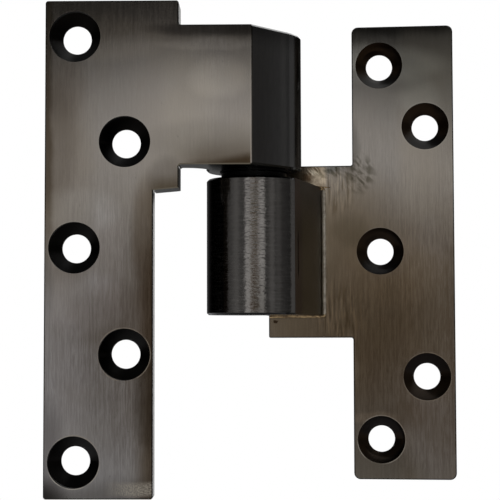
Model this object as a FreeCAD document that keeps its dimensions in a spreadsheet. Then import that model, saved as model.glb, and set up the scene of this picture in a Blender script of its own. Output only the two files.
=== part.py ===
"""Offset pivot hinge: a door leaf whose arm and knuckle turn on a pin held in the jamb leaf's brazed barrel.

Frame: the origin is on the pivot axis at the jamb leaf's mid height, +Z is up along the axis, +X points along
the jamb leaf away from the axis, and the countersunk faces look towards -Y. Lengths are in millimetres.
"""
import FreeCAD, Part
import math
import os
import Sketcher

Vector = FreeCAD.Vector
Placement = FreeCAD.Placement
Rotation = FreeCAD.Rotation

doc = FreeCAD.newDocument("offset_pivot_hinge")
sheet = doc.addObject("Spreadsheet::Sheet", "sizes")

# Driving dimensions: alias, value, meaning
SIZES = [
    ("leaf_height", 127.0, "height of both leaves"),
    ("rest_opening", 175.0, "opening of the hinge as it is stored, degrees"),
    ("edge_break", 0.3, "small bevel on the edges of the leaves' faces"),
    ("head_d", 13.1, "countersunk hole, diameter at the face"),
    ("hole_d", 7.4, "countersunk hole, diameter of the screw's passage"),
    ("hole_land", 0.6, "straight length of the passage at the leaf's back"),
    ("head_angle", 82.0, "countersink's full angle, degrees"),
    ("door_offset", 19.05, "pivot axis to the door leaf's face"),
    ("door_reach", 53.1, "pivot axis to the door leaf's outer edge"),
    ("door_plate_width", 27.7, "door leaf's plate, across"),
    ("door_plate_t", 5.5, "door leaf's plate, thickness"),
    ("door_corner_r", 0.7, "door leaf's corners"),
    ("door_hole_edge", 7.6, "outer column of holes from the outer edge"),
    ("door_hole_row", 12.8, "between the two columns of holes"),
    ("door_hole_end", 9.3, "end holes from the door leaf's ends"),
    ("wing_width", 6.5, "thick wing beside the plate, across"),
    ("wing_height", 48.3, "wing's height at its free edge"),
    ("wing_slant", 0.55, "fall of the wing's lower edge towards the plate"),
    ("wing_ramp", 1.5, "ramp from the plate's back up to the thick wing, each way"),
    ("arm_t", 9.0, "thickness of wing and arm"),
    ("arm_height", 36.0, "height of arm and knuckle"),
    ("arm_drop", 6.3, "leaf's top edge down to the arm"),
    ("arm_root_r", 5.5, "round from the arm's back into the knuckle"),
    ("notch_r", 0.6, "inner corners of both leaves' outlines"),
    ("knuckle_r", 12.7, "knuckle's outer radius"),
    ("knuckle_edge", 0.5, "bevel round the knuckle's top and underside"),
    ("jamb_offset", 22.2, "pivot axis to the jamb leaf's face"),
    ("jamb_inset", 25.6, "pivot axis to the jamb leaf's inner edge"),
    ("jamb_width", 28.3, "jamb leaf's plate, across"),
    ("jamb_t", 4.5, "jamb leaf, thickness"),
    ("jamb_corner_r", 1.8, "jamb leaf's corners"),
    ("jamb_hole_edge", 7.65, "near column of holes from the inner edge"),
    ("jamb_hole_row", 12.8, "between the two columns of holes"),
    ("jamb_near_end", 11.0, "near column's end holes from the jamb leaf's ends"),
    ("jamb_far_end", 28.45, "far column's holes from the jamb leaf's ends"),
    ("tab_start", 1.9, "pivot axis to the tab's free end"),
    ("tab_height", 48.4, "tab's height"),
    ("tab_corner_r", 0.5, "tab's outer corners"),
    ("barrel_r", 12.6, "barrel's outer radius"),
    ("barrel_height", 36.0, "barrel's height"),
    ("barrel_edge", 0.5, "bevel round the barrel's ends"),
    ("web_foot", 17.0, "pivot axis to the web's side, where it meets the jamb leaf"),
    ("flat_start", 25.5, "where the web's flat side leaves the barrel's round, degrees before +X"),
    ("bead", 0.7, "legs of the brazed bead round the web's foot"),
    ("bearing_gap", 2.2, "barrel's top to the arm's underside"),
    ("race_t", 1.9, "one race, thickness"),
    ("race_bore_play", 0.25, "upper race, clear of the pin all round"),
    ("roller_d", 1.6, "bearing roller, diameter"),
    ("roller_length", 2.2, "bearing roller, length"),
    ("roller_play", 0.05, "roller to either race"),
    ("roller_count", 12, "bearing rollers"),
    ("cage_t", 1.0, "roller cage, thickness"),
    ("cage_margin", 0.4, "roller cage, clear of the pin and inside the races' edge"),
    ("cage_web", 0.5, "roller cage, ring inside its pockets"),
    ("cage_rim", 0.4, "roller cage, ring outside its pockets"),
    ("cage_pocket_play", 0.1, "roller to its pocket in the cage"),
    ("pin_d", 10.0, "pivot pin, diameter"),
    ("pin_edge", 0.6, "bevel on the pin's ends"),
    ("pin_play", 0.04, "pin to bushing, all round"),
    ("pin_seat_play", 0.02, "pin to the barrel's bore, all round"),
    ("pin_set_in", 0.8, "pin's lower end above the barrel's underside"),
    ("pin_end_gap", 1.0, "pin's top to the bottom of the knuckle's bore"),
    ("bushing_wall", 1.5, "bronze bushing, wall"),
    ("bushing_height", 24.0, "bronze bushing, length"),
    ("seat_play", 0.02, "fixed bushing or race to its seat, all round"),
    ("screw_d", 5.0, "set screw, diameter"),
    ("screw_length", 6.0, "set screw, length"),
    ("screw_play", 0.05, "set screw to its hole, all round"),
    ("screw_turn", 45.0, "set screw's direction, degrees from +Y towards -X"),
    ("screw_drop", 8.0, "set screw's axis below the barrel's middle"),
    ("screw_socket", 2.5, "set screw's hex socket, across flats"),
    ("screw_socket_depth", 2.2, "set screw's hex socket, depth"),
    ("pin_flat_depth", 0.5, "flat on the pin for the set screw, depth"),
    ("pin_flat_height", 6.0, "flat on the pin, height"),
    ("drill_point", 118.0, "full angle of a drilled bore's end, degrees"),
    ("overcut", 1.0, "how far a cut runs past the face it starts from"),
]
for row, (alias, value, meaning) in enumerate(SIZES, start=1):
    sheet.set(f"A{row}", meaning)
    sheet.set(f"B{row}", str(value))
    sheet.setAlias(f"B{row}", alias)
doc.recompute()

# Places that follow from the sizes, as expressions
ARM_BOTTOM = "(sizes.barrel_height / 2 + sizes.bearing_gap)"
ARM_TOP = f"({ARM_BOTTOM} + sizes.arm_height)"
LEAF_TOP = f"({ARM_TOP} + sizes.arm_drop)"
LEAF_BOTTOM = f"({LEAF_TOP} - sizes.leaf_height)"
LEAF_MIDDLE = f"({LEAF_TOP} - sizes.leaf_height / 2)"
DOOR_FACE = "(-sizes.door_offset)"
ARM_BACK = f"({DOOR_FACE} + sizes.arm_t)"
DOOR_INNER = "(-sizes.door_reach + sizes.door_plate_width)"
WING_EDGE = f"({DOOR_INNER} + sizes.wing_width)"
WING_BOTTOM = f"({LEAF_TOP} - sizes.wing_height)"
BARREL_TOP = "(sizes.barrel_height / 2)"
BARREL_BOTTOM = "(-sizes.barrel_height / 2)"
JAMB_OUTER = "(sizes.jamb_inset + sizes.jamb_width)"
DOOR_PITCH = "(sizes.leaf_height / 2 - sizes.door_hole_end)"
JAMB_NEAR_PITCH = "(sizes.leaf_height / 2 - sizes.jamb_near_end)"
JAMB_FAR_PITCH = "(sizes.leaf_height - 2 * sizes.jamb_far_end)"
DOOR_COLUMN = "(-sizes.door_reach + sizes.door_hole_edge)"
JAMB_COLUMN = "(sizes.jamb_inset + sizes.jamb_hole_edge)"
BEARING_HEIGHT = "(2 * sizes.race_t + sizes.roller_d + 2 * sizes.roller_play)"
RECESS = f"(({BEARING_HEIGHT} - sizes.bearing_gap) / 2)"
LOWER_SEAT = f"({BARREL_TOP} - {RECESS})"
UPPER_SEAT = f"({ARM_BOTTOM} + {RECESS})"
ROLLER_LEVEL = f"({BARREL_TOP} + sizes.bearing_gap / 2)"
PIN_R = "(sizes.pin_d / 2)"
BUSHING_R = f"({PIN_R} + sizes.pin_play + sizes.bushing_wall)"
BUSHING_TOP = f"({UPPER_SEAT} + sizes.bushing_height)"
PIN_BOTTOM = f"({BARREL_BOTTOM} + sizes.pin_set_in)"
PIN_TOP = f"({BUSHING_TOP} - sizes.pin_end_gap)"
PIN_FLAT = f"({PIN_R} - sizes.pin_flat_depth)"
CAGE_BORE_R = f"({PIN_R} + sizes.cage_margin)"
ROLLER_START = f"({CAGE_BORE_R} + sizes.cage_web + sizes.cage_pocket_play)"
ROLLER_MIDDLE = f"({ROLLER_START} + sizes.roller_length / 2)"
CAGE_R = f"({ROLLER_START} + sizes.roller_length + sizes.cage_pocket_play + sizes.cage_rim)"
BEARING_R = f"({CAGE_R} + sizes.cage_margin)"
SCREW_LEVEL = "(-sizes.screw_drop)"


def value(expression):
    """Number that an expression in the sheet's sizes gives."""
    result = sheet.evalExpression(expression)
    return float(getattr(result, "Value", result))


def new_body(name):
    """Empty body whose label names its file."""
    body = doc.addObject("PartDesign::Body", name)
    body.Label = name
    return body


def origin_part(body, role):
    """Plane or axis of the body's own origin."""
    return next(part for part in body.Origin.OriginFeatures if part.Role == role)


def new_sketch(body, name, plane, shift=("0", "0", "0")):
    """Sketch on one of the body's planes, moved by expressions in the plane's own directions."""
    sketch = body.newObject("Sketcher::SketchObject", name)
    sketch.AttachmentSupport = [(origin_part(body, plane), "")]
    sketch.MapMode = "FlatFace"
    for axis, expression in zip("xyz", shift):
        if expression != "0":
            sketch.setExpression(f"AttachmentOffset.Base.{axis}", expression)
    return sketch


def place_point(sketch, edge, end, corner):
    """Holds one end of an edge at a place given by two expressions."""
    for kind, expression in zip(("DistanceX", "DistanceY"), corner):
        constraint = Sketcher.Constraint(kind, -1, 1, edge, end, value(expression))
        index = sketch.addConstraint(constraint)
        sketch.setExpression(f"Constraints[{index}]", expression)


def draw_outline(sketch, corners):
    """Closed outline of straight edges through corners given as pairs of expressions."""
    points = [Vector(value(x), value(y), 0) for x, y in corners]
    count = len(points)
    for index in range(count):
        sketch.addGeometry(Part.LineSegment(points[index], points[(index + 1) % count]), False)
    for index in range(count):
        sketch.addConstraint(Sketcher.Constraint("Coincident", index, 2, (index + 1) % count, 1))
    for index, corner in enumerate(corners):
        place_point(sketch, index, 1, corner)


def draw_circle(sketch, centre, radius):
    """Circle whose centre and radius are expressions."""
    middle = Vector(value(centre[0]), value(centre[1]), 0)
    edge = sketch.addGeometry(Part.Circle(middle, Vector(0, 0, 1), value(radius)), False)
    index = sketch.addConstraint(Sketcher.Constraint("Radius", edge, value(radius)))
    sketch.setExpression(f"Constraints[{index}]", radius)
    place_point(sketch, edge, 3, centre)


def draw_hexagon(sketch, flats):
    """Hexagon round the sketch's origin, with its width across flats as an expression."""
    corner_r = f"({flats} / 2 / cos(30))"
    draw_outline(sketch, [(f"{corner_r} * cos({60 * k})", f"{corner_r} * sin({60 * k})") for k in range(6)])


def pad(body, name, sketch, length, reverse=False, middle=False):
    """Solid grown from a sketch."""
    feature = body.newObject("PartDesign::Pad", name)
    feature.Profile = sketch
    feature.setExpression("Length", length)
    feature.Reversed = reverse
    feature.Midplane = middle
    return finish(body, feature, grows=True)


def pocket(body, name, sketch, length, reverse=False, middle=False):
    """Cut made by pushing a sketch into the solid."""
    feature = body.newObject("PartDesign::Pocket", name)
    feature.Profile = sketch
    feature.setExpression("Length", length)
    feature.Reversed = reverse
    feature.Midplane = middle
    return finish(body, feature, grows=False)


def revolve(body, name, sketch):
    """Solid turned about the sketch's upright axis."""
    feature = body.newObject("PartDesign::Revolution", name)
    feature.Profile = sketch
    feature.ReferenceAxis = (sketch, ["V_Axis"])
    feature.Angle = 360
    return finish(body, feature, grows=True)


def groove(body, name, sketch):
    """Cut turned about the sketch's upright axis."""
    feature = body.newObject("PartDesign::Groove", name)
    feature.Profile = sketch
    feature.ReferenceAxis = (sketch, ["V_Axis"])
    feature.Angle = 360
    return finish(body, feature, grows=False)


def finish(body, feature, grows):
    """Computes a feature and stops if it left the body's volume as it was or moved it the wrong way."""
    before = body.Shape.Volume if not body.Shape.isNull() else 0.0
    body.Tip = feature
    doc.recompute()
    change = body.Shape.Volume - before
    if (change > 0) != grows or change == 0:
        raise RuntimeError(f"{body.Label}: {feature.Label} changed the volume by {change:.4f}")
    return feature


def repeat_upwards(body, name, feature, length, count):
    """Copies of a feature at even steps up the body."""
    pattern = body.newObject("PartDesign::LinearPattern", name)
    pattern.Originals = [feature]
    pattern.Direction = (origin_part(body, "Z_Axis"), [""])
    pattern.setExpression("Length", length)
    pattern.Occurrences = count
    return finish(body, pattern, grows=False)


def repeat_round(body, name, feature, count, grows):
    """Copies of a feature at even steps round the body's upright axis."""
    pattern = body.newObject("PartDesign::PolarPattern", name)
    pattern.Originals = [feature]
    pattern.Axis = (origin_part(body, "Z_Axis"), [""])
    pattern.Angle = 360
    pattern.setExpression("Occurrences", count)
    return finish(body, pattern, grows)


def edges_where(body, test):
    """Names of the body's edges whose every point passes the test."""
    names = []
    for index, edge in enumerate(body.Shape.Edges, start=1):
        samples = [edge.valueAt(t) for t in spread(edge.FirstParameter, edge.LastParameter)]
        if all(test(point) for point in samples):
            names.append(f"Edge{index}")
    return names


def spread(first, last, steps=6):
    """Evenly spaced parameters from first to last."""
    return [first + (last - first) * k / steps for k in range(steps + 1)]


def round_edges(body, name, radius, count, test):
    """Fillet of the edges that pass the test."""
    base = (body.Tip, found_edges(body, name, count, test))
    feature = body.newObject("PartDesign::Fillet", name)
    feature.Base = base
    feature.setExpression("Radius", radius)
    return dress(body, feature)


def bevel_edges(body, name, size, count, test):
    """Chamfer of the edges that pass the test."""
    base = (body.Tip, found_edges(body, name, count, test))
    feature = body.newObject("PartDesign::Chamfer", name)
    feature.Base = base
    feature.setExpression("Size", size)
    return dress(body, feature)


def found_edges(body, name, count, test):
    """Edges that pass the test, which must be as many as expected."""
    names = edges_where(body, test)
    if len(names) != count:
        raise RuntimeError(f"{body.Label}: {name} found {len(names)} edges, not {count}")
    return names


def dress(body, feature):
    """Computes a fillet or chamfer and stops if it failed."""
    body.Tip = feature
    doc.recompute()
    if "Invalid" in feature.State or "Error" in feature.State or not body.Shape.isValid():
        raise RuntimeError(f"{body.Label}: {feature.Label} failed: {feature.getStatusString()}")
    return feature


def near(number, target, slack=1e-4):
    return abs(number - target) < slack


def radius_of(point):
    return math.hypot(point.x, point.y)


def screw_hole(body, name, x, z, face, thickness):
    """Countersunk hole from the face at y = face: a straight mouth, the cone and a short land at the back."""
    sketch = new_sketch(body, f"{name}_profile", "XY_Plane", (x, "0", z))
    head_r = "sizes.head_d / 2"
    hole_r = "sizes.hole_d / 2"
    cone_end = f"({face} + {thickness} - sizes.hole_land)"
    cone_start = f"({cone_end} - (sizes.head_d - sizes.hole_d) / 2 / tan(sizes.head_angle / 2))"
    front = f"({face} - sizes.overcut)"
    back = f"({face} + {thickness} + sizes.overcut)"
    draw_outline(sketch, [
        ("0", front),
        (head_r, front),
        (head_r, cone_start),
        (hole_r, cone_end),
        (hole_r, back),
        ("0", back),
    ])
    return groove(body, name, sketch)


def draw_rounded_plan(sketch, corners, radius):
    """Closed plan: straight edges through the corners, then an arc about the origin back to the first one."""
    points = [Vector(value(x), value(y), 0) for x, y in corners]
    lines = len(points) - 1
    for start, end in zip(points, points[1:]):
        sketch.addGeometry(Part.LineSegment(start, end), False)
    circle = Part.Circle(Vector(0, 0, 0), Vector(0, 0, 1), value(radius))
    first = math.atan2(points[-1].y, points[-1].x)
    last = math.atan2(points[0].y, points[0].x)
    if last < first:
        last += 2 * math.pi
    arc = sketch.addGeometry(Part.ArcOfCircle(circle, first, last), False)
    for index in range(lines):
        sketch.addConstraint(Sketcher.Constraint("Coincident", index, 2, index + 1, 1))
    sketch.addConstraint(Sketcher.Constraint("Coincident", arc, 2, 0, 1))
    sketch.addConstraint(Sketcher.Constraint("Coincident", arc, 3, -1, 1))
    index = sketch.addConstraint(Sketcher.Constraint("Radius", arc, value(radius)))
    sketch.setExpression(f"Constraints[{index}]", radius)
    for edge in range(1, lines):
        place_point(sketch, edge, 1, corners[edge])
    for end, corner, point in ((1, corners[-1], points[-1]), (2, corners[0], points[0])):
        kind, expression = ("DistanceX", corner[0]) if abs(point.x) < abs(point.y) else ("DistanceY", corner[1])
        index = sketch.addConstraint(Sketcher.Constraint(kind, -1, 1, arc, end, value(expression)))
        sketch.setExpression(f"Constraints[{index}]", expression)


def make_door_leaf():
    """Plate, thick wing, arm and knuckle in one piece, drawn square to the axes and then turned to rest."""
    body = new_body("door_leaf")
    face_shift = ("0", "0", "sizes.door_offset")
    plate = new_sketch(body, "plate_outline", "XZ_Plane", face_shift)
    draw_outline(plate, [
        ("-sizes.door_reach", LEAF_BOTTOM),
        (DOOR_INNER, LEAF_BOTTOM),
        (DOOR_INNER, LEAF_TOP),
        ("-sizes.door_reach", LEAF_TOP),
    ])
    pad(body, "plate", plate, "sizes.door_plate_t", reverse=True)
    wing = new_sketch(body, "wing_outline", "XZ_Plane", face_shift)
    draw_outline(wing, [
        (DOOR_INNER, f"{WING_BOTTOM} - sizes.wing_slant"),
        (WING_EDGE, WING_BOTTOM),
        (WING_EDGE, LEAF_TOP),
        (DOOR_INNER, LEAF_TOP),
    ])
    pad(body, "wing", wing, "sizes.arm_t", reverse=True)
    ramp = new_sketch(body, "ramp_plan", "XY_Plane", ("0", "0", WING_BOTTOM))
    plate_back = f"({DOOR_FACE} + sizes.door_plate_t)"
    draw_outline(ramp, [
        (f"{DOOR_INNER} - sizes.wing_ramp", plate_back),
        (f"{DOOR_INNER} - sizes.wing_ramp", DOOR_FACE),
        (f"{DOOR_INNER} + sizes.overcut", DOOR_FACE),
        (f"{DOOR_INNER} + sizes.overcut", f"{plate_back} + sizes.wing_ramp"),
        (DOOR_INNER, f"{plate_back} + sizes.wing_ramp"),
    ])
    pad(body, "ramp", ramp, "sizes.wing_height")
    arm = new_sketch(body, "arm_plan", "XY_Plane", ("0", "0", ARM_BOTTOM))
    draw_rounded_plan(arm, [
        (f"-sqrt(sizes.knuckle_r ^ 2 - {ARM_BACK} ^ 2)", ARM_BACK),
        (DOOR_INNER, ARM_BACK),
        (DOOR_INNER, DOOR_FACE),
        ("0", DOOR_FACE),
        (
            "sizes.knuckle_r * sqrt(sizes.door_offset ^ 2 - sizes.knuckle_r ^ 2) / sizes.door_offset",
            "-(sizes.knuckle_r ^ 2 / sizes.door_offset)",
        ),
    ], "sizes.knuckle_r")
    pad(body, "arm", arm, "sizes.arm_height")

    knuckle_r = value("sizes.knuckle_r")
    back = value(ARM_BACK)
    inner = value(DOOR_INNER)
    wing_edge = value(WING_EDGE)
    outer = -value("sizes.door_reach")
    top = value(LEAF_TOP)
    bottom = value(LEAF_BOTTOM)
    arm_levels = (value(ARM_BOTTOM), value(ARM_TOP))
    round_edges(body, "arm_root", "sizes.arm_root_r", 1, lambda p: (
        near(p.y, back) and near(radius_of(p), knuckle_r) and p.x < 0))
    round_edges(body, "corners", "sizes.door_corner_r", 4, lambda p: (
        (near(p.x, outer) and (near(p.z, top) or near(p.z, bottom)))
        or (near(p.x, inner) and near(p.z, bottom))
        or (near(p.x, wing_edge) and near(p.z, top))))
    round_edges(body, "notches", "sizes.notch_r", 2, lambda p: (
        (near(p.x, wing_edge) and (near(p.z, arm_levels[0]) or near(p.z, arm_levels[1])))))

    outer_hole = screw_hole(body, "outer_hole", DOOR_COLUMN, f"{LEAF_MIDDLE} - {DOOR_PITCH}",
                            DOOR_FACE, "sizes.door_plate_t")
    repeat_upwards(body, "outer_holes", outer_hole, f"2 * {DOOR_PITCH}", 3)
    inner_hole = screw_hole(body, "inner_hole", f"{DOOR_COLUMN} + sizes.door_hole_row",
                            f"{LEAF_MIDDLE} - {DOOR_PITCH} / 2", DOOR_FACE, "sizes.door_plate_t")
    repeat_upwards(body, "inner_holes", inner_hole, DOOR_PITCH, 2)

    bore = new_sketch(body, "bore_profile", "XZ_Plane")
    seat_r = f"({BEARING_R} + sizes.seat_play)"
    bush_r = f"({BUSHING_R} + sizes.seat_play)"
    draw_outline(bore, [
        ("0", f"{ARM_BOTTOM} - sizes.overcut"),
        (seat_r, f"{ARM_BOTTOM} - sizes.overcut"),
        (seat_r, UPPER_SEAT),
        (bush_r, UPPER_SEAT),
        (bush_r, BUSHING_TOP),
        ("0", f"{BUSHING_TOP} + {bush_r} / tan(sizes.drill_point / 2)"),
    ])
    groove(body, "bore", bore)

    door_face = value(DOOR_FACE)
    mouths = hole_centres(on_door=True)
    bevel_edges(body, "face_edges", "sizes.edge_break", 15, lambda p: (
        near(p.y, door_face) and not near_hole(p, mouths)
        and not (near(p.x, 0) and arm_levels[0] + 1 < p.z < arm_levels[1] - 1)))
    bevel_edges(body, "knuckle_ends", "sizes.knuckle_edge", 2, lambda p: (
        near(radius_of(p), knuckle_r) and (near(p.z, arm_levels[0]) or near(p.z, arm_levels[1]))))
    body.Placement = Placement(Vector(0, 0, 0), Rotation(Vector(0, 0, 1), 180 - value("sizes.rest_opening")))
    body.setExpression("Placement.Rotation.Angle", "180 - sizes.rest_opening")
    return body


def hole_centres(on_door):
    """X and Z of the leaf's screw holes."""
    if on_door:
        middle = value(LEAF_MIDDLE)
        pitch = value(DOOR_PITCH)
        column = value(DOOR_COLUMN)
        second_column = column + value("sizes.door_hole_row")
        second_reach = pitch / 2
    else:
        middle = 0.0
        pitch = value(JAMB_NEAR_PITCH)
        column = value(JAMB_COLUMN)
        second_column = column + value("sizes.jamb_hole_row")
        second_reach = value(JAMB_FAR_PITCH) / 2
    first = [(column, middle + k * pitch) for k in (-1, 0, 1)]
    second = [(second_column, middle + k * second_reach) for k in (-1, 1)]
    return first + second


def near_hole(point, centres):
    """True on a screw hole's mouth."""
    mouth = value("sizes.head_d / 2")
    return any(near(math.hypot(point.x - x, point.z - z), mouth) for x, z in centres)


def make_jamb_leaf():
    """Plate with the tab that carries the barrel."""
    body = new_body("jamb_leaf")
    outline = new_sketch(body, "leaf_outline", "XZ_Plane", ("0", "0", "-sizes.jamb_offset"))
    draw_outline(outline, [
        ("sizes.tab_start", "-sizes.tab_height / 2"),
        ("sizes.jamb_inset", "-sizes.tab_height / 2"),
        ("sizes.jamb_inset", "-sizes.leaf_height / 2"),
        (JAMB_OUTER, "-sizes.leaf_height / 2"),
        (JAMB_OUTER, "sizes.leaf_height / 2"),
        ("sizes.jamb_inset", "sizes.leaf_height / 2"),
        ("sizes.jamb_inset", "sizes.tab_height / 2"),
        ("sizes.tab_start", "sizes.tab_height / 2"),
    ])
    pad(body, "leaf", outline, "sizes.jamb_t", reverse=True)
    inset = value("sizes.jamb_inset")
    outer = value(JAMB_OUTER)
    start = value("sizes.tab_start")
    half = value("sizes.leaf_height / 2")
    tab_half = value("sizes.tab_height / 2")
    round_edges(body, "corners", "sizes.jamb_corner_r", 4, lambda p: (
        (near(p.x, inset) or near(p.x, outer)) and near(abs(p.z), half)))
    round_edges(body, "notches", "sizes.notch_r", 2, lambda p: near(p.x, inset) and near(abs(p.z), tab_half))
    round_edges(body, "tab_corners", "sizes.tab_corner_r", 2, lambda p: (
        near(p.x, start) and near(abs(p.z), tab_half)))
    near_cut = screw_hole(body, "near_hole", JAMB_COLUMN, f"-{JAMB_NEAR_PITCH}",
                          "sizes.jamb_offset", "sizes.jamb_t")
    repeat_upwards(body, "near_holes", near_cut, f"2 * {JAMB_NEAR_PITCH}", 3)
    far_cut = screw_hole(body, "far_hole", f"{JAMB_COLUMN} + sizes.jamb_hole_row", f"-{JAMB_FAR_PITCH} / 2",
                         "sizes.jamb_offset", "sizes.jamb_t")
    repeat_upwards(body, "far_holes", far_cut, JAMB_FAR_PITCH, 2)
    face = value("sizes.jamb_offset")
    centres = hole_centres(on_door=False)
    bevel_edges(body, "face_edges", "sizes.edge_break", 16, lambda p: near(p.y, face) and not near_hole(p, centres))
    return body


FLAT_X = "(sizes.barrel_r * cos(sizes.flat_start))"
FLAT_Y = "(-sizes.barrel_r * sin(sizes.flat_start))"


def web_plan():
    """Plan of the web, from the pivot axis to the jamb leaf's face."""
    return [
        ("0", "0"),
        (FLAT_X, FLAT_Y),
        ("sizes.web_foot", "sizes.jamb_offset"),
        ("sizes.tab_start", "sizes.jamb_offset"),
        ("sizes.tab_start", "0"),
    ]


def radial_sketch(body, name, distance):
    """Sketch square to the set screw's direction, at a distance from the pivot axis."""
    sketch = new_sketch(body, name, "XZ_Plane")
    turn = "sizes.screw_turn"
    sketch.AttachmentOffset = Placement(Vector(0, 0, 0), Rotation(Vector(0, 1, 0), value(turn)))
    sketch.setExpression("AttachmentOffset.Rotation.Angle", turn)
    sketch.setExpression("AttachmentOffset.Base.x", f"-{distance} * sin({turn})")
    sketch.setExpression("AttachmentOffset.Base.y", SCREW_LEVEL)
    sketch.setExpression("AttachmentOffset.Base.z", f"-{distance} * cos({turn})")
    return sketch


def make_barrel():
    """Turned barrel and its web in one piece, bored through for the pin."""
    body = new_body("barrel")
    block = new_sketch(body, "barrel_round", "XY_Plane")
    draw_circle(block, ("0", "0"), "sizes.barrel_r")
    pad(body, "round", block, "sizes.barrel_height", middle=True)
    ends = (value(BARREL_TOP), value(BARREL_BOTTOM))
    bevel_edges(body, "ends", "sizes.barrel_edge", 2, lambda p: near(p.z, ends[0]) or near(p.z, ends[1]))
    flat = new_sketch(body, "flat_plan", "XY_Plane")
    beyond = "(sizes.web_foot + sizes.overcut)"
    draw_outline(flat, [
        (FLAT_X, FLAT_Y),
        (beyond, FLAT_Y),
        (beyond, "sizes.jamb_offset"),
        ("sizes.web_foot", "sizes.jamb_offset"),
    ])
    pocket(body, "flat", flat, "sizes.barrel_height + sizes.overcut", middle=True)
    web = new_sketch(body, "web_plan", "XY_Plane")
    draw_outline(web, web_plan())
    pad(body, "web", web, "sizes.barrel_height", middle=True)
    bore = new_sketch(body, "bore_profile", "XZ_Plane")
    seat_r = f"({BEARING_R} + sizes.seat_play)"
    bore_r = f"({PIN_R} + sizes.pin_seat_play)"
    draw_outline(bore, [
        ("0", f"{BARREL_TOP} + sizes.overcut"),
        (seat_r, f"{BARREL_TOP} + sizes.overcut"),
        (seat_r, LOWER_SEAT),
        (bore_r, LOWER_SEAT),
        (bore_r, f"{BARREL_BOTTOM} - sizes.overcut"),
        ("0", f"{BARREL_BOTTOM} - sizes.overcut"),
    ])
    groove(body, "bore", bore)
    tapped = radial_sketch(body, "tapped_hole_round", "0")
    draw_circle(tapped, ("0", "0"), "sizes.screw_d / 2")
    pocket(body, "tapped_hole", tapped, "sizes.barrel_r + sizes.overcut")
    return body


def make_braze_fillet():
    """Bronze bead on the jamb leaf's face round three sides of the web's foot."""
    body = new_body("braze_fillet")
    reach = f"({BARREL_TOP} + sizes.bead)"
    foot = new_sketch(body, "bead_outline", "XZ_Plane", ("0", "0", "-sizes.jamb_offset"))
    draw_outline(foot, [
        ("sizes.tab_start", f"-{reach}"),
        ("sizes.web_foot + sizes.bead", f"-{reach}"),
        ("sizes.web_foot + sizes.bead", reach),
        ("sizes.tab_start", reach),
    ])
    pad(body, "bead", foot, "sizes.bead")
    outer_x = value("sizes.web_foot + sizes.bead")
    outer_z = value(reach)
    crest = value("sizes.jamb_offset - sizes.bead")
    bevel_edges(body, "slope", "0.9 * sizes.bead", 3, lambda p: (
        near(p.y, crest) and (near(p.x, outer_x) or near(abs(p.z), outer_z))))
    web = new_sketch(body, "web_plan", "XY_Plane")
    draw_outline(web, web_plan())
    pocket(body, "web", web, "sizes.barrel_height", middle=True)
    return body


def turned_piece(name, profile):
    """Body turned about the pivot axis from a profile of radius and level expressions."""
    body = new_body(name)
    sketch = new_sketch(body, f"{name}_profile", "XZ_Plane")
    draw_outline(sketch, profile)
    revolve(body, f"{name}_turned", sketch)
    return body


def make_pivot_pin():
    """Plain pin with bevelled ends and a flat for the set screw."""
    edge = "sizes.pin_edge"
    body = turned_piece("pivot_pin", [
        ("0", PIN_BOTTOM),
        (f"{PIN_R} - {edge}", PIN_BOTTOM),
        (PIN_R, f"{PIN_BOTTOM} + {edge}"),
        (PIN_R, f"{PIN_TOP} - {edge}"),
        (f"{PIN_R} - {edge}", PIN_TOP),
        ("0", PIN_TOP),
    ])
    flat = radial_sketch(body, "flat_outline", PIN_FLAT)
    half = "sizes.pin_flat_height / 2"
    draw_outline(flat, [
        (f"-{PIN_R}", f"-{half}"),
        (PIN_R, f"-{half}"),
        (PIN_R, half),
        (f"-{PIN_R}", half),
    ])
    pocket(body, "flat", flat, "sizes.pin_flat_depth + sizes.overcut")
    return body


def make_knuckle_bushing():
    """Bronze bush in the knuckle's bore, from the bearing's seat to the bore's end."""
    inner = f"({PIN_R} + sizes.pin_play)"
    return turned_piece("knuckle_bushing", [
        (inner, UPPER_SEAT),
        (BUSHING_R, UPPER_SEAT),
        (BUSHING_R, BUSHING_TOP),
        (inner, BUSHING_TOP),
    ])


def make_race(name, seat, play, inwards):
    """Flat hardened washer on its seat."""
    inner = f"({PIN_R} + {play})"
    track = f"({seat} {inwards} sizes.race_t)"
    return turned_piece(name, [(inner, seat), (BEARING_R, seat), (BEARING_R, track), (inner, track)])


def make_roller_cage():
    """Flat ring with one pocket for each roller."""
    low = f"({ROLLER_LEVEL} - sizes.cage_t / 2)"
    high = f"({ROLLER_LEVEL} + sizes.cage_t / 2)"
    body = turned_piece("roller_cage", [
        (CAGE_BORE_R, low),
        (CAGE_R, low),
        (CAGE_R, high),
        (CAGE_BORE_R, high),
    ])
    half_length = "(sizes.roller_length / 2 + sizes.cage_pocket_play)"
    half_width = "(sizes.roller_d / 2 + sizes.cage_pocket_play)"
    window = new_sketch(body, "pocket_outline", "XY_Plane", (ROLLER_MIDDLE, "0", ROLLER_LEVEL))
    draw_outline(window, [
        (f"-{half_length}", f"-{half_width}"),
        (half_length, f"-{half_width}"),
        (half_length, half_width),
        (f"-{half_length}", half_width),
    ])
    first = pocket(body, "roller_pocket", window, "2 * sizes.cage_t", middle=True)
    repeat_round(body, "roller_pockets", first, "sizes.roller_count", grows=False)
    return body


def make_bearing_rollers():
    """Ring of rollers that lie radially, one group of separate solids."""
    body = new_body("bearing_rollers")
    body.AllowCompound = True
    end_face = new_sketch(body, "roller_round", "YZ_Plane", ("0", "0", ROLLER_START))
    draw_circle(end_face, ("0", ROLLER_LEVEL), "sizes.roller_d / 2")
    first = pad(body, "roller", end_face, "sizes.roller_length")
    repeat_round(body, "rollers", first, "sizes.roller_count", grows=True)
    return body


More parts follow.
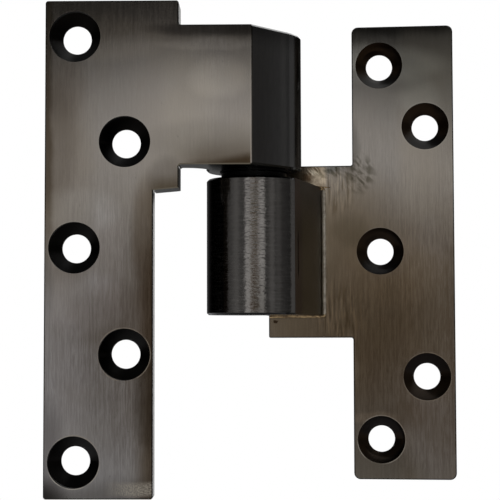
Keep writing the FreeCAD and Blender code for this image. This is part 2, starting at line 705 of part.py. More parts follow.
def make_pin_set_screw():
    """Headless set screw with a hex socket, its tip on the pin's flat."""
    body = new_body("pin_set_screw")
    shank = radial_sketch(body, "shank_round", PIN_FLAT)
    draw_circle(shank, ("0", "0"), "sizes.screw_d / 2 - sizes.screw_play")
    pad(body, "shank", shank, "sizes.screw_length", reverse=True)
    head = radial_sketch(body, "socket_hexagon", f"({PIN_FLAT} + sizes.screw_length)")
    draw_hexagon(head, "sizes.screw_socket")
    pocket(body, "socket", head, "sizes.screw_socket_depth", reverse=True)
    return body


SUB_PARTS = [
    make_door_leaf(),
    make_jamb_leaf(),
    make_barrel(),
    make_braze_fillet(),
    make_pivot_pin(),
    make_knuckle_bushing(),
    make_race("lower_race", LOWER_SEAT, "sizes.seat_play", "+"),
    make_race("upper_race", UPPER_SEAT, "sizes.race_bore_play", "-"),
    make_roller_cage(),
    make_bearing_rollers(),
    make_pin_set_screw(),
]
doc.recompute()

# Checks before anything is written
for item in doc.Objects:
    if "Invalid" in item.State or "Error" in item.State:
        raise RuntimeError(f"{item.Label} failed: {item.State}")
for sub_part in SUB_PARTS:
    shape = sub_part.Shape
    if shape.isNull() or not shape.isValid() or not shape.Solids:
        raise RuntimeError(f"{sub_part.Label} has no valid solid")

os.makedirs("parts", exist_ok=True)
for sub_part in SUB_PARTS:
    sub_part.Shape.exportStep(f"parts/{sub_part.Label}.step")
    box = sub_part.Shape.BoundBox
    print(f"{sub_part.Label}: {len(sub_part.Shape.Solids)} solid(s), volume {sub_part.Shape.Volume:.1f} mm3, "
          f"x {box.XMin:.2f}..{box.XMax:.2f}, y {box.YMin:.2f}..{box.YMax:.2f}, z {box.ZMin:.2f}..{box.ZMax:.2f}")
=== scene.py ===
"""Finishes and setting of the offset pivot hinge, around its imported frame.

The frame's origin is on the pivot axis at the jamb leaf's mid height, +Z is up, and the countersunk
faces look towards -Y. Sizes here are in millimetres. Blender works in metres, so they are multiplied by
MM where it reads them, and the finishes read their places through in_millimetres. Scales of noises are
per metre.
"""

import math

import bmesh
import bpy
from mathutils import Matrix, Vector, noise


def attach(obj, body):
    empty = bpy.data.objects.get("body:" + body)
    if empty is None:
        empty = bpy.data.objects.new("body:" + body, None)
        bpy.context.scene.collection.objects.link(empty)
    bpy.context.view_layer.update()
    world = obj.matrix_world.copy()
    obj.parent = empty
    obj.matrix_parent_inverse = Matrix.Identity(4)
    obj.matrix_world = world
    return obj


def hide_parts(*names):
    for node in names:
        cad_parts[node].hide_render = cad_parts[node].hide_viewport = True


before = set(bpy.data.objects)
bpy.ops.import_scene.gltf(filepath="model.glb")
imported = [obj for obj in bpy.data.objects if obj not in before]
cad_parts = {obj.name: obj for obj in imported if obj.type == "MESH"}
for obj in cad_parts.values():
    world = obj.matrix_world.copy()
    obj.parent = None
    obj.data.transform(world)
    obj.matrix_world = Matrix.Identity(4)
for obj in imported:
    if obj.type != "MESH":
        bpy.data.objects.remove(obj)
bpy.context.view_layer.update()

MM = 0.001

# Places on the hinge
DOOR_TILT = 5.0
DOOR_HOLES = [(-45.5, 53.2), (-45.5, -1.0), (-45.5, -55.2), (-32.7, 26.1), (-32.7, -28.1)]
JAMB_HOLES = [(33.25, 52.5), (33.25, 0.0), (33.25, -52.5), (46.05, 35.05), (46.05, -35.05)]
SINK_RADIUS = 6.55
JAMB_FACE_Y = 22.2
TAB_START = 1.9
WEB_FOOT = 17.0
WEB_HALF_HEIGHT = 18.0


# Node trees


def node(tree, kind, inputs=None, **settings):
    """New shader node: settings are its own properties, inputs are values or sockets by name or number."""
    made = tree.nodes.new("ShaderNode" + kind)
    for name, setting in settings.items():
        setattr(made, name, setting)
    for name, given in (inputs or {}).items():
        socket = made.inputs[name]
        if isinstance(given, bpy.types.NodeSocket):
            tree.links.new(given, socket)
        else:
            socket.default_value = (*given, 1.0) if socket.type == "RGBA" else given
    return made


def maths(tree, operation, *given):
    """Result of a Math node."""
    return node(tree, "Math", dict(enumerate(given)), operation=operation).outputs[0]


def vectors(tree, operation, *given):
    """Result of a Vector Math node: a number for DISTANCE and DOT_PRODUCT, else the vector."""
    made = node(tree, "VectorMath", dict(enumerate(given)), operation=operation)
    return made.outputs["Value" if operation in ("DISTANCE", "DOT_PRODUCT") else "Vector"]


def parts(tree, vector):
    """The three parts of a vector."""
    return node(tree, "SeparateXYZ", {0: vector}).outputs


def in_millimetres(tree, place):
    """Across, depth and level of a place."""
    return parts(tree, vectors(tree, "MULTIPLY", place, (1.0 / MM, 1.0 / MM, 1.0 / MM)))


def noise_at(tree, place, scale, detail, roughness=0.5, distortion=0.0):
    """Value of a noise, mostly from 0.3 to 0.7."""
    inputs = {"Vector": place, "Scale": scale, "Detail": detail}
    inputs.update({"Roughness": roughness, "Distortion": distortion})
    return node(tree, "TexNoise", inputs).outputs[0]


def waver(tree, place, scale, detail, reach):
    """Place shifted across and up by a noise, up to reach, so that marks lose their straight edges."""
    drift = node(tree, "TexNoise", {"Vector": place, "Scale": scale, "Detail": detail}).outputs["Color"]
    return vectors(tree, "ADD", place, vectors(tree, "MULTIPLY", drift, (reach * MM, 0.0, reach * MM)))


def fade(tree, given, start, end, low=0.0, high=1.0):
    """Smooth step from low at start to high at end."""
    inputs = {"Value": given, "From Min": start, "From Max": end, "To Min": low, "To Max": high}
    return node(tree, "MapRange", inputs, interpolation_type="SMOOTHSTEP").outputs[0]


def band(tree, given, low, high, soft):
    """1 between low and high, fading to 0 over soft on both sides."""
    return overlap(tree, fade(tree, given, low - soft, low), fade(tree, given, high + soft, high))


def spot(tree, across, level, centre, reach, soft):
    """1 inside an upright ellipse, fading to 0 outside it."""
    side = maths(tree, "DIVIDE", maths(tree, "SUBTRACT", across, centre[0]), reach[0])
    rise = maths(tree, "DIVIDE", maths(tree, "SUBTRACT", level, centre[1]), reach[1])
    away = maths(tree, "ADD", maths(tree, "MULTIPLY", side, side), maths(tree, "MULTIPLY", rise, rise))
    return fade(tree, away, 1.0 + soft, 1.0 - soft)


def overlap(tree, first, *others):
    """Product of masks or numbers."""
    for other in others:
        first = maths(tree, "MULTIPLY", first, other)
    return first


def blend(tree, factor, first, second):
    """Number between first and second by factor."""
    return node(tree, "Mix", {0: factor, 2: first, 3: second}).outputs[0]


def blend_colour(tree, factor, first, second, way="MIX"):
    """Colour between first and second by factor."""
    return node(tree, "Mix", {0: factor, 6: first, 7: second}, data_type="RGBA", blend_type=way).outputs[2]


def grey(level):
    """Plain grey."""
    return (level, level, level)


def tint(tree, colour, mask, shade):
    """Colour multiplied by shade where the mask is 1."""
    return blend_colour(tree, mask, colour, shade, "MULTIPLY")


PATCH_SOFTNESS = 0.8


def tone_and_shade_patches(tree, across, level, steel, patches):
    """Steel's colour with soft patches of another shade, real tone and painted shade and light: each has a
    centre, a reach and its shade.
    """
    for centre, reach, shade in patches:
        steel = tint(tree, steel, spot(tree, across, level, centre, reach, PATCH_SOFTNESS), shade)
    return steel


def tone_and_shade_bands(tree, across, level, steel, bands, *within):
    """Steel's colour with straight bands of another shade, real tone and painted shade and light, inside the
    masks given.

    Each band has its start and full place across, the same upward, either of them None, and its shade.
    """
    for sideways, upward, shade in bands:
        limits = [(across, sideways), (level, upward)]
        masks = [fade(tree, given, *ends) for given, ends in limits if ends]
        steel = tint(tree, steel, overlap(tree, *within, *masks), shade)
    return steel


def profile(tree, given, stops):
    """Grey level that follows a value through sorted stops of (value, level)."""
    low = stops[0][0]
    high = stops[-1][0]
    place = node(tree, "MapRange", {"Value": given, "From Min": low, "From Max": high}).outputs[0]
    ramp = node(tree, "ValToRGB", {"Fac": place})
    points = ramp.color_ramp.elements
    while len(points) < len(stops):
        points.new(1.0)
    for point, (value, level) in zip(points, stops):
        point.position = (value - low) / (high - low)
        point.color = (*grey(level), 1.0)
    return ramp.outputs["Color"]


def new_group(name, inputs, outputs):
    """Empty shader node group with named sockets, its input node and its output node."""
    group = bpy.data.node_groups.new(name, "ShaderNodeTree")
    for socket_name, kind in inputs:
        group.interface.new_socket(socket_name, in_out="INPUT", socket_type="NodeSocket" + kind)
    for socket_name, kind in outputs:
        group.interface.new_socket(socket_name, in_out="OUTPUT", socket_type="NodeSocket" + kind)
    return group, group.nodes.new("NodeGroupInput"), group.nodes.new("NodeGroupOutput")


# Effects that several finishes share


def make_brushing():
    """Long fine scratches along Z: a streak mask, a slower cloud mask and a height."""
    group, given, result = new_group(
        "brushing",
        [("Place", "Vector"), ("Across", "Float"), ("Along", "Float")],
        [("Streak", "Float"), ("Cloud", "Float"), ("Height", "Float")],
    )
    across = given.outputs["Across"]
    stretch = node(group, "CombineXYZ", {0: across, 1: across, 2: given.outputs["Along"]}).outputs[0]
    laid = vectors(group, "MULTIPLY", given.outputs["Place"], stretch)
    fine = noise_at(group, laid, 1.0, 3.0, roughness=0.6)
    long = noise_at(group, vectors(group, "MULTIPLY", laid, (0.45, 0.45, 0.12)), 1.0, 2.0)
    height = maths(group, "ADD", maths(group, "MULTIPLY", fine, 0.62), maths(group, "MULTIPLY", long, 0.38))
    cloudy = noise_at(group, given.outputs["Place"], 75.0, 5.0)
    group.links.new(fade(group, height, 0.36, 0.64), result.inputs["Streak"])
    group.links.new(fade(group, cloudy, 0.3, 0.7), result.inputs["Cloud"])
    group.links.new(height, result.inputs["Height"])
    return group


def make_turning():
    """Rings left by a lathe round the Z axis: a ring mask that wavers and breaks up, and a height."""
    group, given, result = new_group(
        "turning",
        [("Place", "Vector"), ("Pitch", "Float"), ("Waver", "Float")],
        [("Ring", "Float"), ("Height", "Float")],
    )
    place = given.outputs["Place"]
    shift = maths(group, "MULTIPLY", noise_at(group, place, 420.0, 2.0), given.outputs["Waver"])
    level = maths(group, "ADD", parts(group, place)[2], shift)
    turns = maths(group, "DIVIDE", level, given.outputs["Pitch"])
    wave = maths(group, "SINE", maths(group, "MULTIPLY", turns, math.tau))
    scratch = noise_at(group, vectors(group, "MULTIPLY", place, (240.0, 240.0, 2300.0)), 1.0, 3.0)
    height = maths(group, "ADD", maths(group, "MULTIPLY", wave, 0.10), scratch)
    group.links.new(fade(group, height, 0.32, 0.70), result.inputs["Ring"])
    group.links.new(height, result.inputs["Height"])
    return group


def make_specks():
    """Small scattered pits: 1 in the pits, 0 elsewhere."""
    group, given, result = new_group(
        "specks",
        [("Place", "Vector"), ("Scale", "Float"), ("Share", "Float")],
        [("Speck", "Float")],
    )
    cells = node(group, "TexVoronoi", {"Vector": given.outputs["Place"], "Scale": given.outputs["Scale"]})
    size = maths(group, "MULTIPLY", given.outputs["Share"], cells.outputs["Color"])
    inside = maths(group, "LESS_THAN", cells.outputs["Distance"], size)
    group.links.new(inside, result.inputs["Speck"])
    return group


BRUSHING = make_brushing()
TURNING = make_turning()
SPECKS = make_specks()


# Finishes


def new_finish(name):
    """New metal: its material, tree, Principled shader, Object coordinates and the normal in them."""
    finish = bpy.data.materials.new(name)
    finish.use_nodes = True
    tree = finish.node_tree
    shader = tree.nodes["Principled BSDF"]
    shader.inputs["Metallic"].default_value = 1.0
    coordinates = node(tree, "TexCoord").outputs
    return finish, tree, shader, coordinates["Object"], coordinates["Normal"]


def lay(tree, shader, colour, rough, height, strength, depth):
    """Feeds the shader its colour and roughness, and a bump of some strength and depth."""
    bump = node(tree, "Bump", {"Height": height, "Strength": strength, "Distance": depth * MM})
    tree.links.new(colour, shader.inputs["Base Color"])
    tree.links.new(rough, shader.inputs["Roughness"])
    tree.links.new(bump.outputs[0], shader.inputs["Normal"])


# Steel of both leaves
STEEL_DARK = (0.177, 0.161, 0.146)
STEEL_LIGHT = (0.231, 0.213, 0.194)
STEEL_CLOUD = (0.205, 0.184, 0.158)
STEEL_CLOUD_SHARE = 0.5
STEEL_ROUGHNESS = (0.125, 0.16)
STEEL_ANISOTROPY = 0.8
SCRATCHES_ACROSS = 4800.0
SCRATCHES_ALONG = 340.0
SCRATCH_STRENGTH = 0.4
SCRATCH_DEPTH = 0.006
PIT_COLOUR = (0.05, 0.042, 0.036)
PIT_STRENGTH = 0.45
PIT_SCALE = 420.0
PIT_SHARE = 0.07
UNDERSIDE_PAINTED_SHADE = (0.19, 0.195, 0.20)

# Small bevels round the leaves' faces, painted near black as shade and dark reflection, and the stretch of
# the knuckle's ground flat that they leave out
EDGE_PAINTED_SHADE = (0.020, 0.020, 0.018)
EDGE_ROUGHNESS = 0.85
EDGE_SLANT_UP = (0.35, 0.92, 0.04)
EDGE_SLANT_ASIDE = (0.5, 0.9, 0.04)
EDGE_LEFT_OF_FLAT = (-1.5, -2.0)
EDGE_RIGHT_OF_FLAT = (24.5, 25.0)

# Countersinks, painted dark as shade, and the broken rings of painted highlight round the lower ones
SINK_RIM = 0.05
SINK_ROUGHNESS = 0.4
SINK_LOWER_SIDE_PAINTED_SHADE = (0.10, 0.09, 0.08)
SINK_ROOF_PAINTED_SHADE = (0.62, 0.57, 0.54)
SINK_LOW_ROOF_PAINTED_SHADE = (0.28, 0.22, 0.20)
SINK_LOW = (-20.0, -30.0)
SINK_LOW_SHADE_LOSS = 0.6
RING_HIGHLIGHT_COLOUR = (0.34, 0.32, 0.29)
RING_START = 0.08
RING_END = 0.26
RING_SOFTNESS = 0.06
RING_LEAST = 0.15
RING_FADE = 6.0


def hole_distance(tree, place, holes):
    """Distance to the nearest hole's axis, for holes along Y."""
    flat = vectors(tree, "MULTIPLY", place, (1.0 / MM, 0.0, 1.0 / MM))
    nearest = None
    for x, z in holes:
        reach = vectors(tree, "DISTANCE", flat, (x, 0.0, z))
        nearest = reach if nearest is None else maths(tree, "MINIMUM", nearest, reach)
    return nearest


def broken_edges(tree, across, upward, ahead):
    """1 on the small bevels round a leaf's faces, but not on the knuckle's ground flat."""
    level_edge = band(tree, maths(tree, "ABSOLUTE", upward), *EDGE_SLANT_UP)
    left = fade(tree, across, *EDGE_LEFT_OF_FLAT)
    right = fade(tree, across, *EDGE_RIGHT_OF_FLAT)
    upright_edge = overlap(tree, band(tree, ahead, *EDGE_SLANT_ASIDE), maths(tree, "MAXIMUM", left, right))
    return maths(tree, "MAXIMUM", level_edge, upright_edge)


def sink_painted_shade(tree, sink, level, upward):
    """A countersink's colour with painted shade: darker on its lower side and under its upper side, more so
    low on the leaf.
    """
    low = fade(tree, level, *SINK_LOW)
    kept_lower_shade = maths(tree, "SUBTRACT", 1.0, maths(tree, "MULTIPLY", low, SINK_LOW_SHADE_LOSS))
    colour = tint(tree, sink, overlap(tree, fade(tree, upward, 0.15, 0.6), kept_lower_shade), SINK_LOWER_SIDE_PAINTED_SHADE)
    colour = tint(tree, colour, fade(tree, upward, 0.05, -0.5), SINK_ROOF_PAINTED_SHADE)
    return tint(tree, colour, overlap(tree, low, fade(tree, upward, 0.1, -0.4)), SINK_LOW_ROOF_PAINTED_SHADE)


def leaf_finish(name, holes, tilt, sink, highlight_ring_top, marks_and_shade):
    """Vertically brushed, browned steel.

    Sink is the countersinks' colour, darkened as painted shade; those below highlight_ring_top have a broken
    ring of painted highlight round them; marks_and_shade adds a leaf's own marks and painted shade and
    light;
    undersides and bevels get painted shade.
    """
    finish, tree, shader, place, facing = new_finish(name)
    lean = math.radians(tilt)
    turned = node(tree, "Mapping", {"Vector": place, "Rotation": (0.0, 0.0, -lean)}).outputs[0]
    across, _, level = in_millimetres(tree, turned)
    upward = parts(tree, facing)[2]
    ahead = vectors(tree, "DOT_PRODUCT", facing, (math.sin(lean), -math.cos(lean), 0.0))
    not_back = fade(tree, ahead, -0.95, -0.80)

    sizes = {"Place": turned, "Across": SCRATCHES_ACROSS, "Along": SCRATCHES_ALONG}
    brushed = node(tree, "Group", sizes, node_tree=BRUSHING).outputs
    steel = blend_colour(tree, brushed["Streak"], STEEL_DARK, STEEL_LIGHT)
    steel = blend_colour(tree, overlap(tree, brushed["Cloud"], STEEL_CLOUD_SHARE), steel, STEEL_CLOUD)
    sizes = {"Place": turned, "Scale": PIT_SCALE, "Share": PIT_SHARE}
    pits = node(tree, "Group", sizes, node_tree=SPECKS).outputs[0]
    steel = blend_colour(tree, overlap(tree, pits, PIT_STRENGTH), steel, PIT_COLOUR)
    rough = fade(tree, brushed["Streak"], 0.0, 1.0, *STEEL_ROUGHNESS)
    marked_and_shaded, edge = marks_and_shade(tree, turned, facing, steel)
    steel = blend_colour(tree, not_back, steel, marked_and_shaded)

    reach = hole_distance(tree, turned, holes)
    # Broken ring of painted highlight round the lower countersinks
    ring = overlap(
        tree,
        band(tree, reach, SINK_RADIUS + RING_START, SINK_RADIUS + RING_END, RING_SOFTNESS),
        fade(tree, noise_at(tree, turned, 160.0, 2.0), 0.40, 0.56, RING_LEAST, 1.0),
        fade(tree, level, highlight_ring_top, highlight_ring_top + RING_FADE, 1.0, RING_LEAST),
        not_back,
    )
    steel = blend_colour(tree, ring, steel, RING_HIGHLIGHT_COLOUR)
    edges = broken_edges(tree, across, upward, ahead)
    # Bevels painted near black: painted shade and dark reflection
    steel = blend_colour(tree, edges, steel, edge)
    rough = blend(tree, overlap(tree, edges, fade(tree, ahead, 0.3, 0.15)), rough, EDGE_ROUGHNESS)
    # Painted shade on the faces that look down
    steel = tint(tree, steel, fade(tree, upward, -0.93, -0.96), UNDERSIDE_PAINTED_SHADE)

    # Countersinks painted dark: painted shade in the hollows
    inside = overlap(tree, fade(tree, reach, SINK_RADIUS + SINK_RIM, SINK_RADIUS), not_back)
    steel = blend_colour(tree, inside, steel, sink_painted_shade(tree, sink, level, upward))
    rough = blend(tree, inside, rough, SINK_ROUGHNESS)
    grain = overlap(tree, brushed["Height"], maths(tree, "SUBTRACT", 1.0, inside))
    lay(tree, shader, steel, rough, grain, SCRATCH_STRENGTH, SCRATCH_DEPTH)
    shader.inputs["Anisotropic"].default_value = STEEL_ANISOTROPY
    return finish


# Door leaf's tone, partly real and partly painted shade and reflection: its patches, then its bands
DOOR_PATCHES = [
    ((-48.0, 16.0), (8.0, 34.0), (0.88, 0.85, 0.81)),
    ((-50.5, 27.0), (6.5, 15.0), (0.72, 0.70, 0.68)),
    ((-46.5, 41.5), (5.0, 8.0), (0.88, 0.86, 0.84)),
    ((-53.0, 58.0), (3.5, 6.0), (1.42, 1.42, 1.42)),
    ((-43.0, 9.5), (9.0, 5.5), (1.16, 1.19, 1.22)),
    ((-36.0, -2.0), (4.5, 13.0), (1.14, 1.14, 1.16)),
    ((-42.0, -14.0), (10.0, 7.0), (1.25, 1.28, 1.34)),
    ((-32.0, -18.0), (13.0, 8.0), (0.80, 0.77, 0.74)),
    ((-26.3, 3.0), (3.4, 14.0), (0.62, 0.57, 0.51)),
    ((-26.0, -38.0), (3.4, 12.0), (0.70, 0.70, 0.70)),
    ((-52.8, -10.0), (3.0, 9.0), (0.84, 0.85, 0.86)),
    ((-49.0, -36.0), (8.0, 26.0), (1.14, 1.14, 1.16)),
    ((-52.5, -54.0), (5.5, 15.0), (0.62, 0.61, 0.61)),
    ((-34.5, 54.0), (13.0, 5.5), (1.30, 1.28, 1.24)),
    ((-8.0, 56.2), (16.0, 1.9), (0.45, 0.45, 0.46)),
    ((-1.5, 56.0), (4.5, 2.2), (0.78, 0.78, 0.78)),
    ((-10.0, 52.0), (12.0, 1.5), (1.26, 1.26, 1.26)),
    ((-7.5, 43.5), (7.0, 5.0), (1.24, 1.24, 1.22)),
    ((-15.0, 38.0), (7.0, 16.0), (1.10, 1.10, 1.08)),
    ((-11.0, 27.0), (14.0, 5.5), (0.82, 0.82, 0.81)),
    ((-21.0, 18.0), (4.5, 5.0), (0.68, 0.67, 0.66)),
    ((-54.5, -65.0), (8.0, 6.5), (0.26, 0.25, 0.24)),
]
DOOR_BANDS = [
    ((-49.4, -51.2), (-12.0, 14.0), (0.50, 0.46, 0.40)),
    ((-36.0, -20.0), None, (1.14, 1.13, 1.12)),
    (None, (51.5, 55.5), (0.80, 0.78, 0.75)),
    (None, (14.0, -34.0), (1.25, 1.34, 1.50)),
    ((-27.5, -22.5), (20.0, 14.8), (0.52, 0.47, 0.38)),
    ((-30.0, -25.5), (4.0, -8.0), (0.60, 0.53, 0.45)),
    ((-32.0, -26.0), (-18.0, -30.0), (0.84, 0.83, 0.80)),
]
DOOR_WAVER = (140.0, 3.0, 2.0)
DOOR_SINK_SHADED = (0.010, 0.009, 0.008)
DOOR_HIGHLIGHT_RING_TOP = -20.0

# Door leaf's foot darkened as painted shade, which slants, and a thin painted dark line of shade along its
# bottom
DUSK_SLANT = -0.08
DUSK_LEVELS = (-53.5, -59.5)
DUSK_PAINTED_SHADE = (0.54, 0.53, 0.52)
BOTTOM_LEVELS = (-63.1, -63.9)
BOTTOM_PAINTED_SHADE = (0.14, 0.13, 0.12)

# Band above the bottom that was rubbed bright and grainy
RUBBED_COLOUR = (0.37, 0.345, 0.30)
RUBBED_LEVELS = (-61.8, -60.0, 1.4)
RUBBED_ACROSS = (-38.0, -28.0)
RUBBED_GRAIN = 3200.0

# Arm: darker brown along its lower edge, which drops near the ground flat, and darker steel above that
ARM_END = (-0.4, -0.8)
ARM_EDGE_LEVELS = (23.2, 20.8)
ARM_EDGE_ACROSS = (-18.0, -12.0)
ARM_EDGE_DROP = -1.6
ARM_EDGE_DROP_ACROSS = (-10.0, 0.0)
ARM_EDGE_SHADE = (0.36, 0.30, 0.23)
ARM_BANDS = [((-22.0, -10.0), (31.0, 21.5), (0.53, 0.49, 0.44))]

# Arm's end beside the ground flat: a painted highlight strip, then a painted dark line of shade where the
# face breaks off
AT_FACE = (-18.0, -18.5)
HIGHLIGHT_STRIP_ACROSS = (-0.66, -0.50, 0.08)
HIGHLIGHT_STRIP_SHADE = (1.15, 1.15, 1.15)
CREASE_LINE_ACROSS = (-0.26, 0.0, 0.06)
CREASE_PAINTED_SHADE = (0.12, 0.12, 0.12)

# Bevel that catches the light along the wing's foot
LIT_EDGE_COLOUR = (0.13, 0.112, 0.085)
LIT_EDGE_LEVELS = (13.2, 21.2, 0.2)
LIT_EDGE_ACROSS = (-26.2, -25.6)

# Knuckle's ground flat and the round beyond it, with painted shade and sheen
GROUND_FACING = (0.773, -0.635, 0.0)
GROUND_COLOUR = (0.198, 0.180, 0.163)
GROUND_PLAINNESS = 0.75
GROUND_PAINTED_TINT = (0.88, 0.92, 0.98)
GROUND_PAINTED_BANDS = [
    (None, (49.0, 57.5), (0.55, 0.55, 0.56)),
    ((1.0, 9.5), None, (1.38, 1.42, 1.46)),
    ((6.0, 9.0), None, (1.28, 1.28, 1.26)),
]
KNUCKLE_SIDE_FACING = (0.94, -0.34, 0.0)
KNUCKLE_SIDE_SHADE_BANDS = [((8.0, 9.0), None, (0.60, 0.60, 0.61))]


def door_marks(tree, place, facing, steel):
    """Brown edge strip, darker brown arm and wing, rubbed band at the bottom, painted shade and light;
    returns the steel and its edges.
    """
    across, _, level = in_millimetres(tree, waver(tree, place, *DOOR_WAVER))
    # Bands and patches of real tone and of painted shade and reflection
    steel = tone_and_shade_bands(tree, across, level, steel, DOOR_BANDS)
    steel = tone_and_shade_patches(tree, across, level, steel, DOOR_PATCHES)
    slanted = maths(tree, "ADD", level, maths(tree, "MULTIPLY", across, DUSK_SLANT))
    # Foot darkened as painted shade
    steel = tint(tree, steel, fade(tree, slanted, *DUSK_LEVELS), DUSK_PAINTED_SHADE)

    true_across, depth, true_level = in_millimetres(tree, place)
    on_arm = fade(tree, true_across, *ARM_END)
    drop = overlap(tree, fade(tree, across, *ARM_EDGE_DROP_ACROSS), ARM_EDGE_DROP)
    arm_edge = fade(tree, maths(tree, "ADD", level, drop), *ARM_EDGE_LEVELS)
    arm_edge = overlap(tree, arm_edge, fade(tree, across, *ARM_EDGE_ACROSS), on_arm)
    steel = tint(tree, steel, arm_edge, ARM_EDGE_SHADE)
    steel = tone_and_shade_bands(tree, across, level, steel, ARM_BANDS, on_arm)

    grain = noise_at(tree, place, RUBBED_GRAIN, 3.0, roughness=0.6)
    rubbed = overlap(
        tree,
        band(tree, level, *RUBBED_LEVELS),
        fade(tree, across, *RUBBED_ACROSS),
        fade(tree, grain, 0.36, 0.64, 0.2, 1.0),
    )
    steel = blend_colour(tree, rubbed, steel, RUBBED_COLOUR)
    # Thin painted dark line of shade along the bottom
    steel = tint(tree, steel, fade(tree, level, *BOTTOM_LEVELS), BOTTOM_PAINTED_SHADE)
    at_face = fade(tree, depth, *AT_FACE)
    # Painted highlight strip, then a painted dark line of shade at the crease
    highlight_strip = overlap(tree, band(tree, true_across, *HIGHLIGHT_STRIP_ACROSS), at_face)
    steel = tint(tree, steel, highlight_strip, HIGHLIGHT_STRIP_SHADE)
    crease_shade_line = overlap(tree, band(tree, true_across, *CREASE_LINE_ACROSS), at_face)
    steel = tint(tree, steel, crease_shade_line, CREASE_PAINTED_SHADE)
    steel = knuckle_marks(tree, facing, true_across, true_level, steel)

    lit_edge = overlap(
        tree,
        band(tree, true_level, *LIT_EDGE_LEVELS),
        fade(tree, true_across, *LIT_EDGE_ACROSS),
        on_arm,
        fade(tree, parts(tree, facing)[1], -0.2, -0.4),
    )
    return steel, blend_colour(tree, lit_edge, EDGE_PAINTED_SHADE, LIT_EDGE_COLOUR)


def knuckle_marks(tree, facing, across, level, steel):
    """Knuckle's ground flat, plainer than the leaf, with painted shade at its top, a painted sheen to its
    far rim and painted shade beyond.
    """
    ground = fade(tree, vectors(tree, "DOT_PRODUCT", facing, GROUND_FACING), 0.96, 0.98)
    steel = blend_colour(tree, overlap(tree, ground, GROUND_PLAINNESS), steel, GROUND_COLOUR)
    # Painted shade and sheen on the ground flat and the round beyond it
    steel = tint(tree, steel, ground, GROUND_PAINTED_TINT)
    steel = tone_and_shade_bands(tree, across, level, steel, GROUND_PAINTED_BANDS, ground)
    side = fade(tree, vectors(tree, "DOT_PRODUCT", facing, KNUCKLE_SIDE_FACING), 0.93, 0.97)
    return tone_and_shade_bands(tree, across, level, steel, KNUCKLE_SIDE_SHADE_BANDS, side)


# Jamb leaf's tone, partly real and partly painted shade and reflection: its patches, then its bands
JAMB_PATCHES = [
    ((31.0, -59.0), (15.0, 8.0), (0.80, 0.79, 0.76)),
    ((50.5, -49.0), (8.0, 13.0), (1.25, 1.30, 1.42)),
    ((27.3, 31.0), (2.6, 7.0), (0.68, 0.68, 0.68)),
    ((37.0, 55.0), (15.0, 5.0), (1.55, 1.60, 1.62)),
    ((31.0, 57.0), (8.0, 4.0), (1.75, 1.75, 1.75)),
    ((46.5, 45.0), (5.5, 5.0), (1.20, 1.24, 1.27)),
    ((41.5, 51.5), (6.5, 4.5), (0.88, 0.89, 0.90)),
    ((27.0, 8.0), (5.0, 4.5), (0.82, 0.82, 0.80)),
    ((39.0, -4.0), (14.0, 9.0), (1.19, 1.18, 1.17)),
    ((15.5, 3.0), (4.5, 7.5), (1.26, 1.28, 1.32)),
    ((20.0, 25.5), (5.0, 1.8), (0.70, 0.75, 0.80)),
    ((42.5, -43.5), (6.0, 4.0), (0.88, 0.85, 0.82)),
    ((33.3, -44.3), (6.5, 1.6), (1.30, 1.28, 1.25)),
    ((26.5, -29.0), (2.4, 7.5), (1.32, 1.38, 1.48)),
]
JAMB_BANDS = [
    (None, (61.5, 65.5), (0.30, 0.30, 0.30)),
    ((38.0, 44.0), None, (1.08, 1.06, 1.02)),
    (None, (-30.0, -52.0), (0.80, 0.80, 0.79)),
]
JAMB_WAVER = (120.0, 4.0, 4.0)
JAMB_SINK_SHADED = (0.032, 0.020, 0.011)
JAMB_HIGHLIGHT_RING_TOP = -14.0

# Jamb leaf's top darkened as painted shade, which slants, and the heat tint of the brazing: centre, reach
# and softness
TOP_SHADE_SLANT = 0.5
TOP_SHADE_LEVELS = (47.0, 77.0)
TOP_PAINTED_SHADE = (0.46, 0.47, 0.46)
HEAT_TINT = ((22.0, -12.0), (24.0, 34.0), 0.75)
HEAT_SHADE = (0.66, 0.575, 0.45)

# Tan patch beside the web's top, with its darker rim and stain
FILE_WAVER = (420.0, 3.0, 2.2)
TAN_PATCH = ((15.9, 22.3), (3.5, 4.3), 0.55)
TAN_STRENGTH = 0.9
TAN_DARK = (0.19, 0.150, 0.105)
TAN_LIGHT = (0.33, 0.275, 0.205)
TAN_RIM = ((11.2, 22.3), (1.8, 4.6), 0.8)
TAN_RIM_SHADE = (0.82, 0.74, 0.62)
TAN_STAIN = ((14.0, 22.2), (1.4, 1.0), 0.7)
TAN_STAIN_SHADE = (0.60, 0.50, 0.42)

# Gouges in the patch and smoke round it, which both lie at a slant
FILING_SLANT = (0.0, 0.75, 0.0)
GOUGED = ((15.5, 24.0), (2.1, 1.6), 0.5)
GOUGE_STRETCH = (2100.0, 1.0, 420.0)
GOUGE_COLOUR = (0.50, 0.44, 0.35)
GOUGE_SHADE = (0.45, 0.39, 0.31)
SMOKE_BESIDE = ((28.6, 23.0), (4.0, 5.0), 0.8)
SMOKE_ABOVE = ((21.5, 24.6), (5.5, 2.4), 0.8)
SMOKE_STRETCH = (760.0, 1.0, 300.0)
SMOKE_SHADE = (0.44, 0.44, 0.39)

# Coarse upright strokes above and below the barrel's middle, and a dent near the tab's foot
STROKES_BELOW = ((23.0, -18.0), (6.0, 10.0), 0.8)
STROKES_ABOVE = ((22.5, 19.0), (4.5, 7.0), 0.8)
STROKE_STRETCH = (1500.0, 1.0, 130.0)
STROKE_LIGHT_SHADE = (1.40, 1.38, 1.34)
STROKE_DARK_SHADE = (0.72, 0.68, 0.60)
TAB_DENT = ((5.3, -18.4), (0.62, 0.5), 0.3)
TAB_DENT_SHADE = (0.25, 0.2, 0.16)


